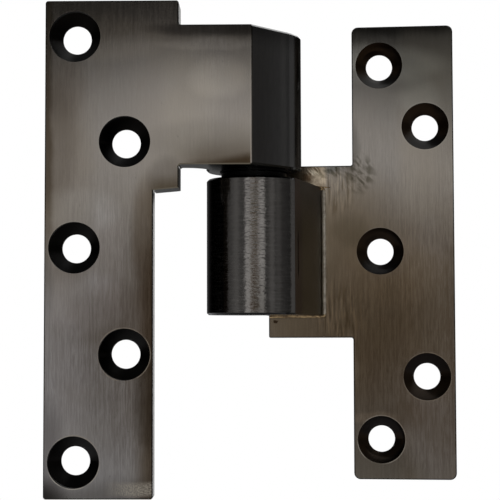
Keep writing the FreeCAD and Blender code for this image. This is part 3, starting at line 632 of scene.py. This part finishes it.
def jamb_marks(tree, place, _facing, steel):
    """Top darkened as painted shade, darker foot, and brown heat tint round the brazed tab; returns the
    steel and its edges.
    """
    across, _, level = in_millimetres(tree, waver(tree, place, *JAMB_WAVER))
    # Top darkened as painted shade
    slanted = maths(tree, "ADD", level, maths(tree, "MULTIPLY", across, TOP_SHADE_SLANT))
    steel = tint(tree, steel, fade(tree, slanted, *TOP_SHADE_LEVELS), TOP_PAINTED_SHADE)
    # Bands and patches of real tone and of painted shade and reflection
    steel = tone_and_shade_bands(tree, across, level, steel, JAMB_BANDS)
    steel = tint(tree, steel, spot(tree, across, level, *HEAT_TINT), HEAT_SHADE)
    steel = tone_and_shade_patches(tree, across, level, steel, JAMB_PATCHES)
    return file_marks(tree, place, steel), EDGE_PAINTED_SHADE


def file_marks(tree, place, steel):
    """Tan patch with gouges and smoke beside the web's top, coarse strokes, a dent near the tab's foot."""
    across, _, level = in_millimetres(tree, waver(tree, place, *FILE_WAVER))
    cloud = noise_at(tree, place, 700.0, 3.0)
    tan = blend_colour(tree, fade(tree, cloud, 0.35, 0.65), TAN_DARK, TAN_LIGHT)
    patch = spot(tree, across, level, *TAN_PATCH)
    steel = blend_colour(tree, overlap(tree, patch, TAN_STRENGTH), steel, tan)
    steel = tint(tree, steel, spot(tree, across, level, *TAN_RIM), TAN_RIM_SHADE)
    steel = tint(tree, steel, spot(tree, across, level, *TAN_STAIN), TAN_STAIN_SHADE)

    slanted = node(tree, "Mapping", {"Vector": place, "Rotation": FILING_SLANT}).outputs[0]
    gouge = noise_at(tree, vectors(tree, "MULTIPLY", slanted, GOUGE_STRETCH), 1.0, 1.0, distortion=0.6)
    gouged = spot(tree, across, level, *GOUGED)
    bright = overlap(tree, gouged, fade(tree, gouge, 0.52, 0.62, 0.0, 0.8))
    steel = blend_colour(tree, bright, steel, GOUGE_COLOUR)
    steel = tint(tree, steel, overlap(tree, gouged, fade(tree, gouge, 0.47, 0.37)), GOUGE_SHADE)

    wisp = noise_at(tree, vectors(tree, "MULTIPLY", slanted, SMOKE_STRETCH), 1.0, 5.0, distortion=0.35)
    beside = spot(tree, across, level, *SMOKE_BESIDE)
    above = spot(tree, across, level, *SMOKE_ABOVE)
    smoke = overlap(tree, maths(tree, "MAXIMUM", beside, above), fade(tree, wisp, 0.42, 0.60))
    steel = tint(tree, steel, smoke, SMOKE_SHADE)

    stroke = noise_at(tree, vectors(tree, "MULTIPLY", place, STROKE_STRETCH), 1.0, 3.0)
    below = spot(tree, across, level, *STROKES_BELOW)
    above = spot(tree, across, level, *STROKES_ABOVE)
    coarse = maths(tree, "MAXIMUM", below, above)
    steel = tint(tree, steel, overlap(tree, coarse, fade(tree, stroke, 0.50, 0.62)), STROKE_LIGHT_SHADE)
    steel = tint(tree, steel, overlap(tree, coarse, fade(tree, stroke, 0.48, 0.38)), STROKE_DARK_SHADE)
    return tint(tree, steel, spot(tree, across, level, *TAB_DENT), TAB_DENT_SHADE)


# Barrel's turned steel
TURNED_DARK = (0.178, 0.168, 0.158)
TURNED_LIGHT = (0.194, 0.184, 0.174)
TURNED_ROUGHNESS = (0.09, 0.20)
TURNED_SPECULAR = (0.90, 0.90, 0.92, 1.0)
TURNED_ANISOTROPY = 0.5
TURNED_DIRECTION = 0.25
TURNED_BUMP = 0.06
RING_PITCH = 0.42
RING_WAVER = 0.5
RING_HEIGHT = 0.14
CHATTER_STRETCH = (560.0, 560.0, 1750.0)

# Barrel's ends and bevels, which lie inside its own round, painted dark as shade, and its foot to the right
# darkened as painted shade
ROUND_END = (12.85, 12.75)
END_PAINTED_SHADE = (0.012, 0.012, 0.012)
END_ROUGHNESS = 0.9
FOOT_SHADE_LEVELS = (-2.0, -19.0)
FOOT_PAINTED_SHADE = (0.70, 0.70, 0.68)

# Film of scale on the web's flat side, by depth, with a painted sheen near its top, and beside it a dent
# with a painted shadow and a painted glint: centre, reach, softness
FILM_NEAR = (0.066, 0.036, 0.027)
FILM_FAR = (0.046, 0.039, 0.023)
FILM_DEPTHS = (0.0, 5.0)
FILM_WAVER = 5.0
FILM_ROUGHNESS = 0.32
FILM_SHEEN_SHADE = (2.5, 2.5, 2.4)
FILM_SHEEN_DEPTHS = (-1.0, 4.0)
FILM_SHEEN_LEVELS = (15.0, 4.0)
WEB_DENT = ((-3.0, -1.9), (1.1, 5.2), 0.9)
WEB_DENT_PAINTED_SHADOW = (0.34, 0.28, 0.25)
WEB_DENT_HEIGHT = -4.0
WEB_GLINT = ((-1.7, -1.9), (0.6, 3.2), 0.8)
WEB_PAINTED_GLINT = (1.8, 1.8, 1.7)


def turned_finish():
    """Barrel's turned steel: rings round it, shinier than the leaves, painted shade at ends and foot,
    browned web flat with painted light.
    """
    finish, tree, shader, place, facing = new_finish("turned_steel")
    sizes = {"Place": place, "Pitch": RING_PITCH * MM, "Waver": RING_WAVER * MM}
    rings = node(tree, "Group", sizes, node_tree=TURNING).outputs
    steel = blend_colour(tree, rings["Ring"], TURNED_DARK, TURNED_LIGHT)
    rough = fade(tree, rings["Ring"], 0.0, 1.0, *TURNED_ROUGHNESS)
    _, depth, level = in_millimetres(tree, place)
    rightward, rearward, upward = parts(tree, facing)
    on_right = overlap(tree, fade(tree, rightward, 0.02, 0.20), fade(tree, rightward, 0.46, 0.30))
    # Foot to the right darkened as painted shade
    foot_shade = overlap(tree, on_right, fade(tree, level, *FOOT_SHADE_LEVELS))
    steel = tint(tree, steel, foot_shade, FOOT_PAINTED_SHADE)

    flat = fade(tree, rightward, 0.93, 0.96)
    drift = overlap(tree, noise_at(tree, place, 160.0, 3.0), FILM_WAVER)
    film = fade(tree, maths(tree, "ADD", depth, drift), *FILM_DEPTHS)
    film = blend_colour(tree, film, FILM_NEAR, FILM_FAR)
    # Painted sheen, lighter near the flat's top
    pale = overlap(tree, fade(tree, depth, *FILM_SHEEN_DEPTHS), fade(tree, level, *FILM_SHEEN_LEVELS))
    steel = blend_colour(tree, flat, steel, tint(tree, film, pale, FILM_SHEEN_SHADE))
    rough = blend(tree, flat, rough, FILM_ROUGHNESS)

    plan = vectors(tree, "MULTIPLY", place, (1.0 / MM, 1.0 / MM, 0.0))
    round_part = fade(tree, vectors(tree, "DISTANCE", plan, (0.0, 0.0, 0.0)), *ROUND_END)
    # Ends and bevels painted dark as shade
    bevel = overlap(tree, band(tree, maths(tree, "ABSOLUTE", upward), *EDGE_SLANT_UP), round_part)
    covered = overlap(tree, fade(tree, upward, 0.93, 0.96), round_part)
    steel = blend_colour(tree, maths(tree, "MAXIMUM", bevel, covered), steel, END_PAINTED_SHADE)
    rough = blend(tree, covered, rough, END_ROUGHNESS)

    # Dent with a painted shadow, and a painted glint beside it
    dent = overlap(tree, spot(tree, depth, level, *WEB_DENT), flat)
    steel = tint(tree, steel, dent, WEB_DENT_PAINTED_SHADOW)
    glint = overlap(tree, spot(tree, depth, level, *WEB_GLINT), flat)
    steel = tint(tree, steel, glint, WEB_PAINTED_GLINT)
    chatter = noise_at(tree, vectors(tree, "MULTIPLY", place, CHATTER_STRETCH), 1.0, 2.0)
    chatter = overlap(tree, chatter, fade(tree, rearward, 0.1, -0.8, 0.25, 1.0))
    height = maths(tree, "ADD", overlap(tree, rings["Height"], RING_HEIGHT), chatter)
    height = maths(tree, "ADD", height, overlap(tree, dent, WEB_DENT_HEIGHT))
    lay(tree, shader, steel, rough, height, 1.0, TURNED_BUMP)
    shader.inputs["Specular Tint"].default_value = TURNED_SPECULAR
    shader.inputs["Anisotropic"].default_value = TURNED_ANISOTROPY
    shader.inputs["Anisotropic Rotation"].default_value = TURNED_DIRECTION
    return finish


# Small inner pieces
INNER_WAVER = 0.2
INNER_BUMP_STRENGTH = 0.2
INNER_BUMP = 0.01


def plain_metal(name, dark, light, rough_low, rough_high, pitch):
    """Turned or ground metal with faint rings and a cloudy film, for the small inner pieces."""
    finish, tree, shader, place, _ = new_finish(name)
    sizes = {"Place": place, "Pitch": pitch * MM, "Waver": INNER_WAVER * MM}
    rings = node(tree, "Group", sizes, node_tree=TURNING).outputs
    film = noise_at(tree, place, 600.0, 4.0)
    shade = overlap(tree, maths(tree, "ADD", rings["Ring"], film), 0.5)
    metal = blend_colour(tree, shade, dark, light)
    rough = fade(tree, film, 0.3, 0.7, rough_low, rough_high)
    lay(tree, shader, metal, rough, rings["Height"], INNER_BUMP_STRENGTH, INNER_BUMP)
    return finish


# Brazing bronze, dark in its hollows, and its stretch that is filed flush along the web's side
BRONZE_DARK = (0.11, 0.075, 0.045)
BRONZE_LIGHT = (0.46, 0.33, 0.18)
BRONZE_ROUGHNESS = (0.45, 0.25)
BRONZE_BUMP_STRENGTH = 0.6
BRONZE_BUMP = 0.12
FILED_DARK = (0.34, 0.30, 0.24)
FILED_LIGHT = (0.58, 0.53, 0.45)
FILED_METALLIC = 0.25
FILED_ACROSS = (16.6, 17.0)
FILED_LEVELS = (-17.2, 16.8, 0.8)


def bronze_finish():
    """Brazing filler: uneven bronze, darkened in its hollows, filed flush along the web's side."""
    finish, tree, shader, place, _ = new_finish("braze_bronze")
    lumps = noise_at(tree, place, 900.0, 5.0, roughness=0.65)
    shade = fade(tree, lumps, 0.36, 0.66)
    across, _, level = in_millimetres(tree, place)
    filed = overlap(tree, fade(tree, across, *FILED_ACROSS), band(tree, level, *FILED_LEVELS))
    rough_bronze = blend_colour(tree, shade, BRONZE_DARK, BRONZE_LIGHT)
    filed_bronze = blend_colour(tree, shade, FILED_DARK, FILED_LIGHT)
    bronze = blend_colour(tree, filed, rough_bronze, filed_bronze)
    rough = fade(tree, lumps, 0.3, 0.7, *BRONZE_ROUGHNESS)
    lay(tree, shader, bronze, rough, lumps, BRONZE_BUMP_STRENGTH, BRONZE_BUMP)
    tree.links.new(fade(tree, filed, 0.0, 1.0, 1.0, FILED_METALLIC), shader.inputs["Metallic"])
    return finish


def dress(name, finish):
    """Gives a frame node its finish."""
    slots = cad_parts[name].data.materials
    slots.clear()
    slots.append(finish)


DOOR_STEEL = leaf_finish("door_leaf_steel", DOOR_HOLES, DOOR_TILT, DOOR_SINK_SHADED, DOOR_HIGHLIGHT_RING_TOP, door_marks)
JAMB_STEEL = leaf_finish("jamb_leaf_steel", JAMB_HOLES, 0.0, JAMB_SINK_SHADED, JAMB_HIGHLIGHT_RING_TOP, jamb_marks)
BRONZE = bronze_finish()
dress("door_leaf", DOOR_STEEL)
dress("jamb_leaf", JAMB_STEEL)
dress("barrel", turned_finish())

# Name, dark and light colour, lowest and highest roughness and the rings' pitch of each inner finish
# Bearing races, cage and rollers are near black: partly oil, partly painted shade of the gap under the
# knuckle
OILY_AND_SHADED_STEEL = plain_metal("oily_and_shaded_steel", grey(0.004), grey(0.010), 0.4, 0.5, 0.25)
dress("lower_race", OILY_AND_SHADED_STEEL)
dress("upper_race", OILY_AND_SHADED_STEEL)
dress("roller_cage", plain_metal("cage_steel", grey(0.004), grey(0.010), 0.4, 0.5, 0.5))
dress("bearing_rollers", plain_metal("oily_shaded_rollers", grey(0.010), grey(0.018), 0.35, 0.45, 0.2))
dress("pivot_pin", plain_metal("ground_steel", grey(0.40), (0.58, 0.58, 0.59), 0.12, 0.24, 0.25))
dress("knuckle_bushing", plain_metal("bush_bronze", (0.34, 0.20, 0.09), (0.50, 0.34, 0.17), 0.3, 0.45, 0.3))
dress("pin_set_screw", plain_metal("black_steel", (0.02, 0.02, 0.021), grey(0.05), 0.35, 0.5, 0.4))


# Brazed bead

BEAD_SIZE = 0.5
BEAD_SIDES = 12
BEAD_STEP = 0.4
BEAD_INSET = 0.12
BEAD_OUT = 0.55
BEAD_TURN = 0.6
BEAD_TURN_STEPS = 6
BEAD_TOP = 17.6
BEAD_END_INSET = 0.2
SPUR_END = (19.5, 18.1)
SPUR_BACK = 3.9
SPUR_RISE = 0.22
SPUR_SINK = 0.15
SPUR_LIFT = 0.08
SPUR_THICK = 1.1
SPUR_THIN = 0.16

# Bead's uneven width: waves per millimetre and their height; the filed side has a share of it
BEAD_SWELLS = [(0.55, 0.16), (1.9, 0.07)]
FILED_SHARE = 0.5
FILED_END = 1.0


def edges_in(geometry):
    """The edges among an operator's results."""
    return [part for part in geometry if isinstance(part, bmesh.types.BMEdge)]


def carry_ring(shape, ring, way, length):
    """Extrudes a ring of edges along way in small steps; returns the last ring."""
    steps = max(1, round(length / BEAD_STEP))
    for _ in range(steps):
        ring = edges_in(bmesh.ops.extrude_edge_only(shape, edges=ring)["geom"])
        corners = list(dict.fromkeys(vert for edge in ring for vert in edge.verts))
        bmesh.ops.translate(shape, verts=corners, vec=way * (length / steps))
    return ring


def turn_ring(shape, ring, centre):
    """Spins a ring of edges a quarter turn round a corner, seen along Y."""
    spun = bmesh.ops.spin(shape, geom=ring, cent=centre, axis=(0.0, 1.0, 0.0), angle=-math.pi / 2,
                          steps=BEAD_TURN_STEPS)
    return edges_in(spun["geom_last"])


def add_bead_run(shape, start):
    """Round bead along the web's underside, up its side and back over its top."""
    ring = bmesh.ops.create_circle(shape, cap_ends=False, segments=BEAD_SIDES, radius=BEAD_SIZE,
                                   matrix=Matrix.Translation(start) @ Matrix.Rotation(math.pi / 2, 4, "Y"))
    ring = list(dict.fromkeys(edge for vert in ring["verts"] for edge in vert.link_edges))
    corner = Vector((WEB_FOOT + BEAD_OUT - BEAD_TURN, start.y, start.z + BEAD_TURN))
    rise = BEAD_TOP - BEAD_TURN - corner.z
    ring = carry_ring(shape, ring, Vector((1.0, 0.0, 0.0)), corner.x - start.x)
    ring = turn_ring(shape, ring, corner)
    ring = carry_ring(shape, ring, Vector((0.0, 0.0, 1.0)), rise)
    corner.z += rise
    ring = turn_ring(shape, ring, corner)
    carry_ring(shape, ring, Vector((-1.0, 0.0, 0.0)), corner.x - start.x)


def add_spur(shape, depth):
    """Filler that ran out past the web's top corner, as a thinning rod."""
    foot = Vector((WEB_FOOT - SPUR_BACK, depth - SPUR_SINK, WEB_HALF_HEIGHT + SPUR_RISE))
    tip = Vector((SPUR_END[0], depth + SPUR_LIFT, SPUR_END[1]))
    run = tip - foot
    lie = run.to_track_quat("Z", "Y").to_matrix().to_4x4()
    bmesh.ops.create_cone(shape, cap_ends=True, segments=BEAD_SIDES, radius1=SPUR_THICK * BEAD_SIZE,
                          radius2=SPUR_THIN * BEAD_SIZE, depth=run.length,
                          matrix=Matrix.Translation((foot + tip) / 2) @ lie)


def put_in_order(elements, place):
    """Sorts a shape's corners or faces by their places, so that each run writes them alike."""
    for number, part in enumerate(sorted(elements, key=place)):
        part.index = number
    elements.sort()


def make_bead():
    """Bronze filler round three sides of the web's foot, of uneven width, with a spur at the top corner."""
    shape = bmesh.new()
    start = Vector((TAB_START + BEAD_END_INSET, JAMB_FACE_Y - BEAD_INSET, -WEB_HALF_HEIGHT - BEAD_INSET))
    add_bead_run(shape, start)
    add_spur(shape, start.y)
    bmesh.ops.holes_fill(shape, edges=shape.edges, sides=BEAD_SIDES + 1)
    bmesh.ops.recalc_face_normals(shape, faces=shape.faces)
    shape.normal_update()
    for vert in shape.verts:
        swell = sum(noise.noise(vert.co * pace) * height for pace, height in BEAD_SWELLS)
        if vert.co.x > WEB_FOOT and abs(vert.co.z) < WEB_HALF_HEIGHT - FILED_END:
            swell = FILED_SHARE * swell
        vert.co += vert.normal * swell
    bmesh.ops.scale(shape, verts=shape.verts, vec=(MM, MM, MM))
    for face in shape.faces:
        face.smooth = True
    put_in_order(shape.verts, lambda vert: tuple(vert.co))
    put_in_order(shape.faces, lambda face: tuple(face.calc_center_median()))
    mesh = bpy.data.meshes.new("brazed_bead")
    shape.to_mesh(mesh)
    shape.free()
    mesh.materials.append(BRONZE)
    bead = bpy.data.objects.new("brazed_bead", mesh)
    bpy.context.scene.collection.objects.link(bead)
    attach(bead, "jamb_side")
    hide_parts("braze_fillet")


make_bead()


# Setting

# Camera, fitted to the photograph
CAMERA_PLACE = (38.11, -375.18, -21.98)
CAMERA_TURN = 5.965
CAMERA_PITCH = 3.237
CAMERA_ROLL = 0.14
CAMERA_LENS = 101.87
CAMERA_SENSOR = 36.0
CAMERA_NEAREST = 10.0

# Soft screen in front of the hinge: level of its light by degrees to the right and by degrees up
SCREEN_ACROSS = [(-60.0, 0.0), (-18.0, 0.0), (-13.5, 1.0), (28.5, 1.0), (34.0, 0.0), (60.0, 0.0)]
SCREEN_UP = [
    (-30.0, 0.45), (-8.0, 0.62), (-6.0, 0.78), (-4.0, 0.85), (2.0, 0.96), (6.0, 1.02), (8.6, 1.2),
    (10.2, 1.2), (11.0, 0.70), (11.7, 0.34), (12.4, 0.14), (13.2, 0.06), (15.0, 0.05), (30.0, 0.05),
]
SCREEN_MIDDLE = 1.5
SCREEN_BOW = 0.06
SCREEN_BOW_MOST = 3.0

# Brown shadow of the camera on the screen: centre and reach in degrees to the right and up, and softness
CAMERA_SHADE = (0.22, 0.17, 0.12)
CAMERA_SHADOW = ((7.0, -1.0), (11.86, 6.64), 0.611)

# Dim walls round the object, by degrees to the right
WALLS = [
    (-180.0, 0.06), (-160.0, 0.08), (-150.0, 0.07), (-133.0, 0.015), (-118.0, 0.0), (-66.0, 0.0),
    (-59.0, 0.13), (-50.0, 0.19), (-40.0, 0.29), (-34.0, 0.29), (-29.0, 0.18), (-17.0, 0.16), (-13.0, 0.0),
    (29.0, 0.0), (34.0, 0.13), (40.0, 0.15), (48.0, 0.29), (54.0, 0.28), (59.0, 0.13), (64.0, 0.19),
    (70.0, 0.18), (78.0, 0.10), (104.0, 0.060), (106.0, 0.08), (109.0, 0.24), (120.0, 0.22), (127.0, 0.07),
    (140.0, 0.035), (160.0, 0.045), (180.0, 0.06),
]
UPPER_WALL = (5.5, 7.5)
BLACK_WALL = 0.004
BLACK_WALL_ACROSS = (119.5, 160.0, 3.0)
DIM_WALL = 0.15
DIM_WALL_ACROSS = (110.0, 122.0, 1.5)

# White backdrop straight behind the hinge, above and below a dark rail
BACKDROP_LEFT = (175.0, 177.5)
BACKDROP_RIGHT = (-177.8, -179.2)
BACKDROP_TOP = (8.5, 12.5)
BACKDROP_FOOT = (-9.0, 4.8, 0.8)

# Glow of the pale floor and of the ceiling's edge by degrees up, and how open each side is to it
GLOW = [
    (-90.0, 0.6), (-16.0, 0.6), (-9.0, 0.13), (-7.2, 0.03), (-5.0, 0.0), (14.0, 0.0), (25.0, 0.25),
    (45.0, 0.45), (62.0, 0.3), (76.0, 0.05), (90.0, 0.03),
]
OPEN_SIDES = [(-180.0, 1.0), (-165.0, 0.8), (-140.0, 0.5), (-66.0, 0.5), (-50.0, 1.0), (180.0, 1.0)]

FLOOR_LEVEL = -125.0
FLOOR_RADIUS = 450.0
FLOOR_GREY = 0.78
FLOOR_SHOWN = 0.55
FLOOR_SIDES = 96
FLOOR_RIM = (0.6, 0.98)
LAMP_PLACE = (350.0, 550.0, 750.0)
LAMP_SIZE = 900.0
LAMP_POWER = 4.5


def make_camera():
    """Camera at the photograph's place and angle."""
    turn = math.radians(CAMERA_TURN)
    pitch = math.radians(CAMERA_PITCH)
    roll = math.radians(CAMERA_ROLL)
    level_right = Vector((math.cos(turn), math.sin(turn), 0.0))
    level_forward = Vector((-math.sin(turn), math.cos(turn), 0.0))
    up = Vector((0.0, 0.0, 1.0))
    forward = math.cos(pitch) * level_forward + math.sin(pitch) * up
    tilted_up = math.cos(pitch) * up - math.sin(pitch) * level_forward
    image_right = math.cos(roll) * level_right - math.sin(roll) * tilted_up
    image_up = math.sin(roll) * level_right + math.cos(roll) * tilted_up
    data = bpy.data.cameras.new("camera")
    data.lens = CAMERA_LENS
    data.sensor_width = CAMERA_SENSOR
    data.clip_start = CAMERA_NEAREST * MM
    camera = bpy.data.objects.new("camera", data)
    view = Matrix((image_right, image_up, -forward)).transposed().to_4x4()
    camera.matrix_world = Matrix.Translation(Vector(CAMERA_PLACE) * MM) @ view
    bpy.context.scene.collection.objects.link(camera)
    bpy.context.scene.camera = camera


def ray_masks(tree):
    """1 for rays from the camera, and 1 for rays that metal or glass sends on."""
    ray = node(tree, "LightPath").outputs
    return ray["Is Camera Ray"], maths(tree, "MAXIMUM", ray["Is Glossy Ray"], ray["Is Transmission Ray"])


def screen_light(tree, turn, rise):
    """Soft bowed screen in front, darkened where the camera stands before it."""
    across = profile(tree, turn, SCREEN_ACROSS)
    off = maths(tree, "SUBTRACT", turn, SCREEN_MIDDLE)
    bow = overlap(tree, off, off, SCREEN_BOW)
    bowed = maths(tree, "ADD", rise, maths(tree, "MINIMUM", bow, SCREEN_BOW_MOST))
    screen = blend_colour(tree, 1.0, across, profile(tree, bowed, SCREEN_UP), "MULTIPLY")
    shaded = spot(tree, turn, rise, *CAMERA_SHADOW)
    return blend_colour(tree, overlap(tree, shaded, across), screen, CAMERA_SHADE)


def make_surroundings():
    """White for the camera; for the metal, a dim studio with a soft lit screen in front."""
    world = bpy.data.worlds.new("studio")
    bpy.context.scene.world = world
    world.use_nodes = True
    tree = world.node_tree
    background = tree.nodes["Background"]
    x, y, z = parts(tree, node(tree, "TexCoord").outputs["Generated"])
    to_degrees = 180.0 / math.pi
    turn = overlap(tree, maths(tree, "ARCTAN2", x, maths(tree, "MULTIPLY", y, -1.0)), to_degrees)
    rise = overlap(tree, maths(tree, "ARCSINE", z), to_degrees)

    walls = profile(tree, turn, WALLS)
    upper = fade(tree, rise, *UPPER_WALL)
    for across, level in ((BLACK_WALL_ACROSS, BLACK_WALL), (DIM_WALL_ACROSS, DIM_WALL)):
        walls = blend_colour(tree, overlap(tree, upper, band(tree, turn, *across)), walls, grey(level))
    glow = blend_colour(tree, 1.0, profile(tree, rise, GLOW), profile(tree, turn, OPEN_SIDES), "MULTIPLY")
    room = blend_colour(tree, 1.0, screen_light(tree, turn, rise), walls, "ADD")
    room = blend_colour(tree, 1.0, room, glow, "ADD")

    behind = maths(tree, "MAXIMUM", fade(tree, turn, *BACKDROP_LEFT), fade(tree, turn, *BACKDROP_RIGHT))
    open_back = maths(tree, "MAXIMUM", fade(tree, rise, *BACKDROP_TOP), band(tree, rise, *BACKDROP_FOOT))
    camera_ray, mirrored_ray = ray_masks(tree)
    white = maths(tree, "MAXIMUM", camera_ray, overlap(tree, mirrored_ray, behind, open_back))
    tree.links.new(blend_colour(tree, white, room, grey(1.0)), background.inputs["Color"])
    background.inputs["Strength"].default_value = 1.0


def make_floor():
    """Pale disc under the object that fades into the white round it."""
    shape = bmesh.new()
    bmesh.ops.create_circle(shape, cap_ends=True, segments=FLOOR_SIDES, radius=FLOOR_RADIUS * MM)
    bmesh.ops.translate(shape, verts=shape.verts, vec=(0.0, 0.0, FLOOR_LEVEL * MM))
    mesh = bpy.data.meshes.new("floor")
    shape.to_mesh(mesh)
    shape.free()
    floor = bpy.data.objects.new("floor", mesh)
    bpy.context.scene.collection.objects.link(floor)
    finish = bpy.data.materials.new("pale_floor")
    finish.use_nodes = True
    tree = finish.node_tree
    tree.nodes.clear()
    place = node(tree, "TexCoord").outputs["Object"]
    plan = vectors(tree, "MULTIPLY", place, (1.0 / MM, 1.0 / MM, 0.0))
    away = vectors(tree, "DISTANCE", plan, (0.0, 0.0, 0.0))
    rim = fade(tree, away, *(share * FLOOR_RADIUS for share in FLOOR_RIM))
    paint = node(tree, "BsdfDiffuse", {"Color": grey(FLOOR_GREY)}).outputs[0]
    white = node(tree, "Emission", {"Color": grey(1.0), "Strength": 1.0}).outputs[0]
    shown = overlap(tree, maths(tree, "MAXIMUM", *ray_masks(tree)), FLOOR_SHOWN)
    surface = node(tree, "MixShader", {0: shown, 1: paint, 2: white}).outputs[0]
    clear = node(tree, "BsdfTransparent").outputs[0]
    result = node(tree, "MixShader", {0: rim, 1: surface, 2: clear}).outputs[0]
    tree.links.new(result, node(tree, "OutputMaterial").inputs["Surface"])
    mesh.materials.append(finish)


def make_lamp():
    """Soft square lamp above and behind, pointing at the object."""
    data = bpy.data.lights.new("lamp_above", "AREA")
    data.shape = "SQUARE"
    data.size = LAMP_SIZE * MM
    data.energy = LAMP_POWER
    lamp = bpy.data.objects.new("lamp_above", data)
    lamp.location = Vector(LAMP_PLACE) * MM
    lamp.rotation_mode = "QUATERNION"
    lamp.rotation_quaternion = (-Vector(LAMP_PLACE)).to_track_quat("-Z", "Y")
    bpy.context.scene.collection.objects.link(lamp)


make_camera()
make_surroundings()
make_floor()
make_lamp()
bpy.context.scene.view_settings.view_transform = "Standard"
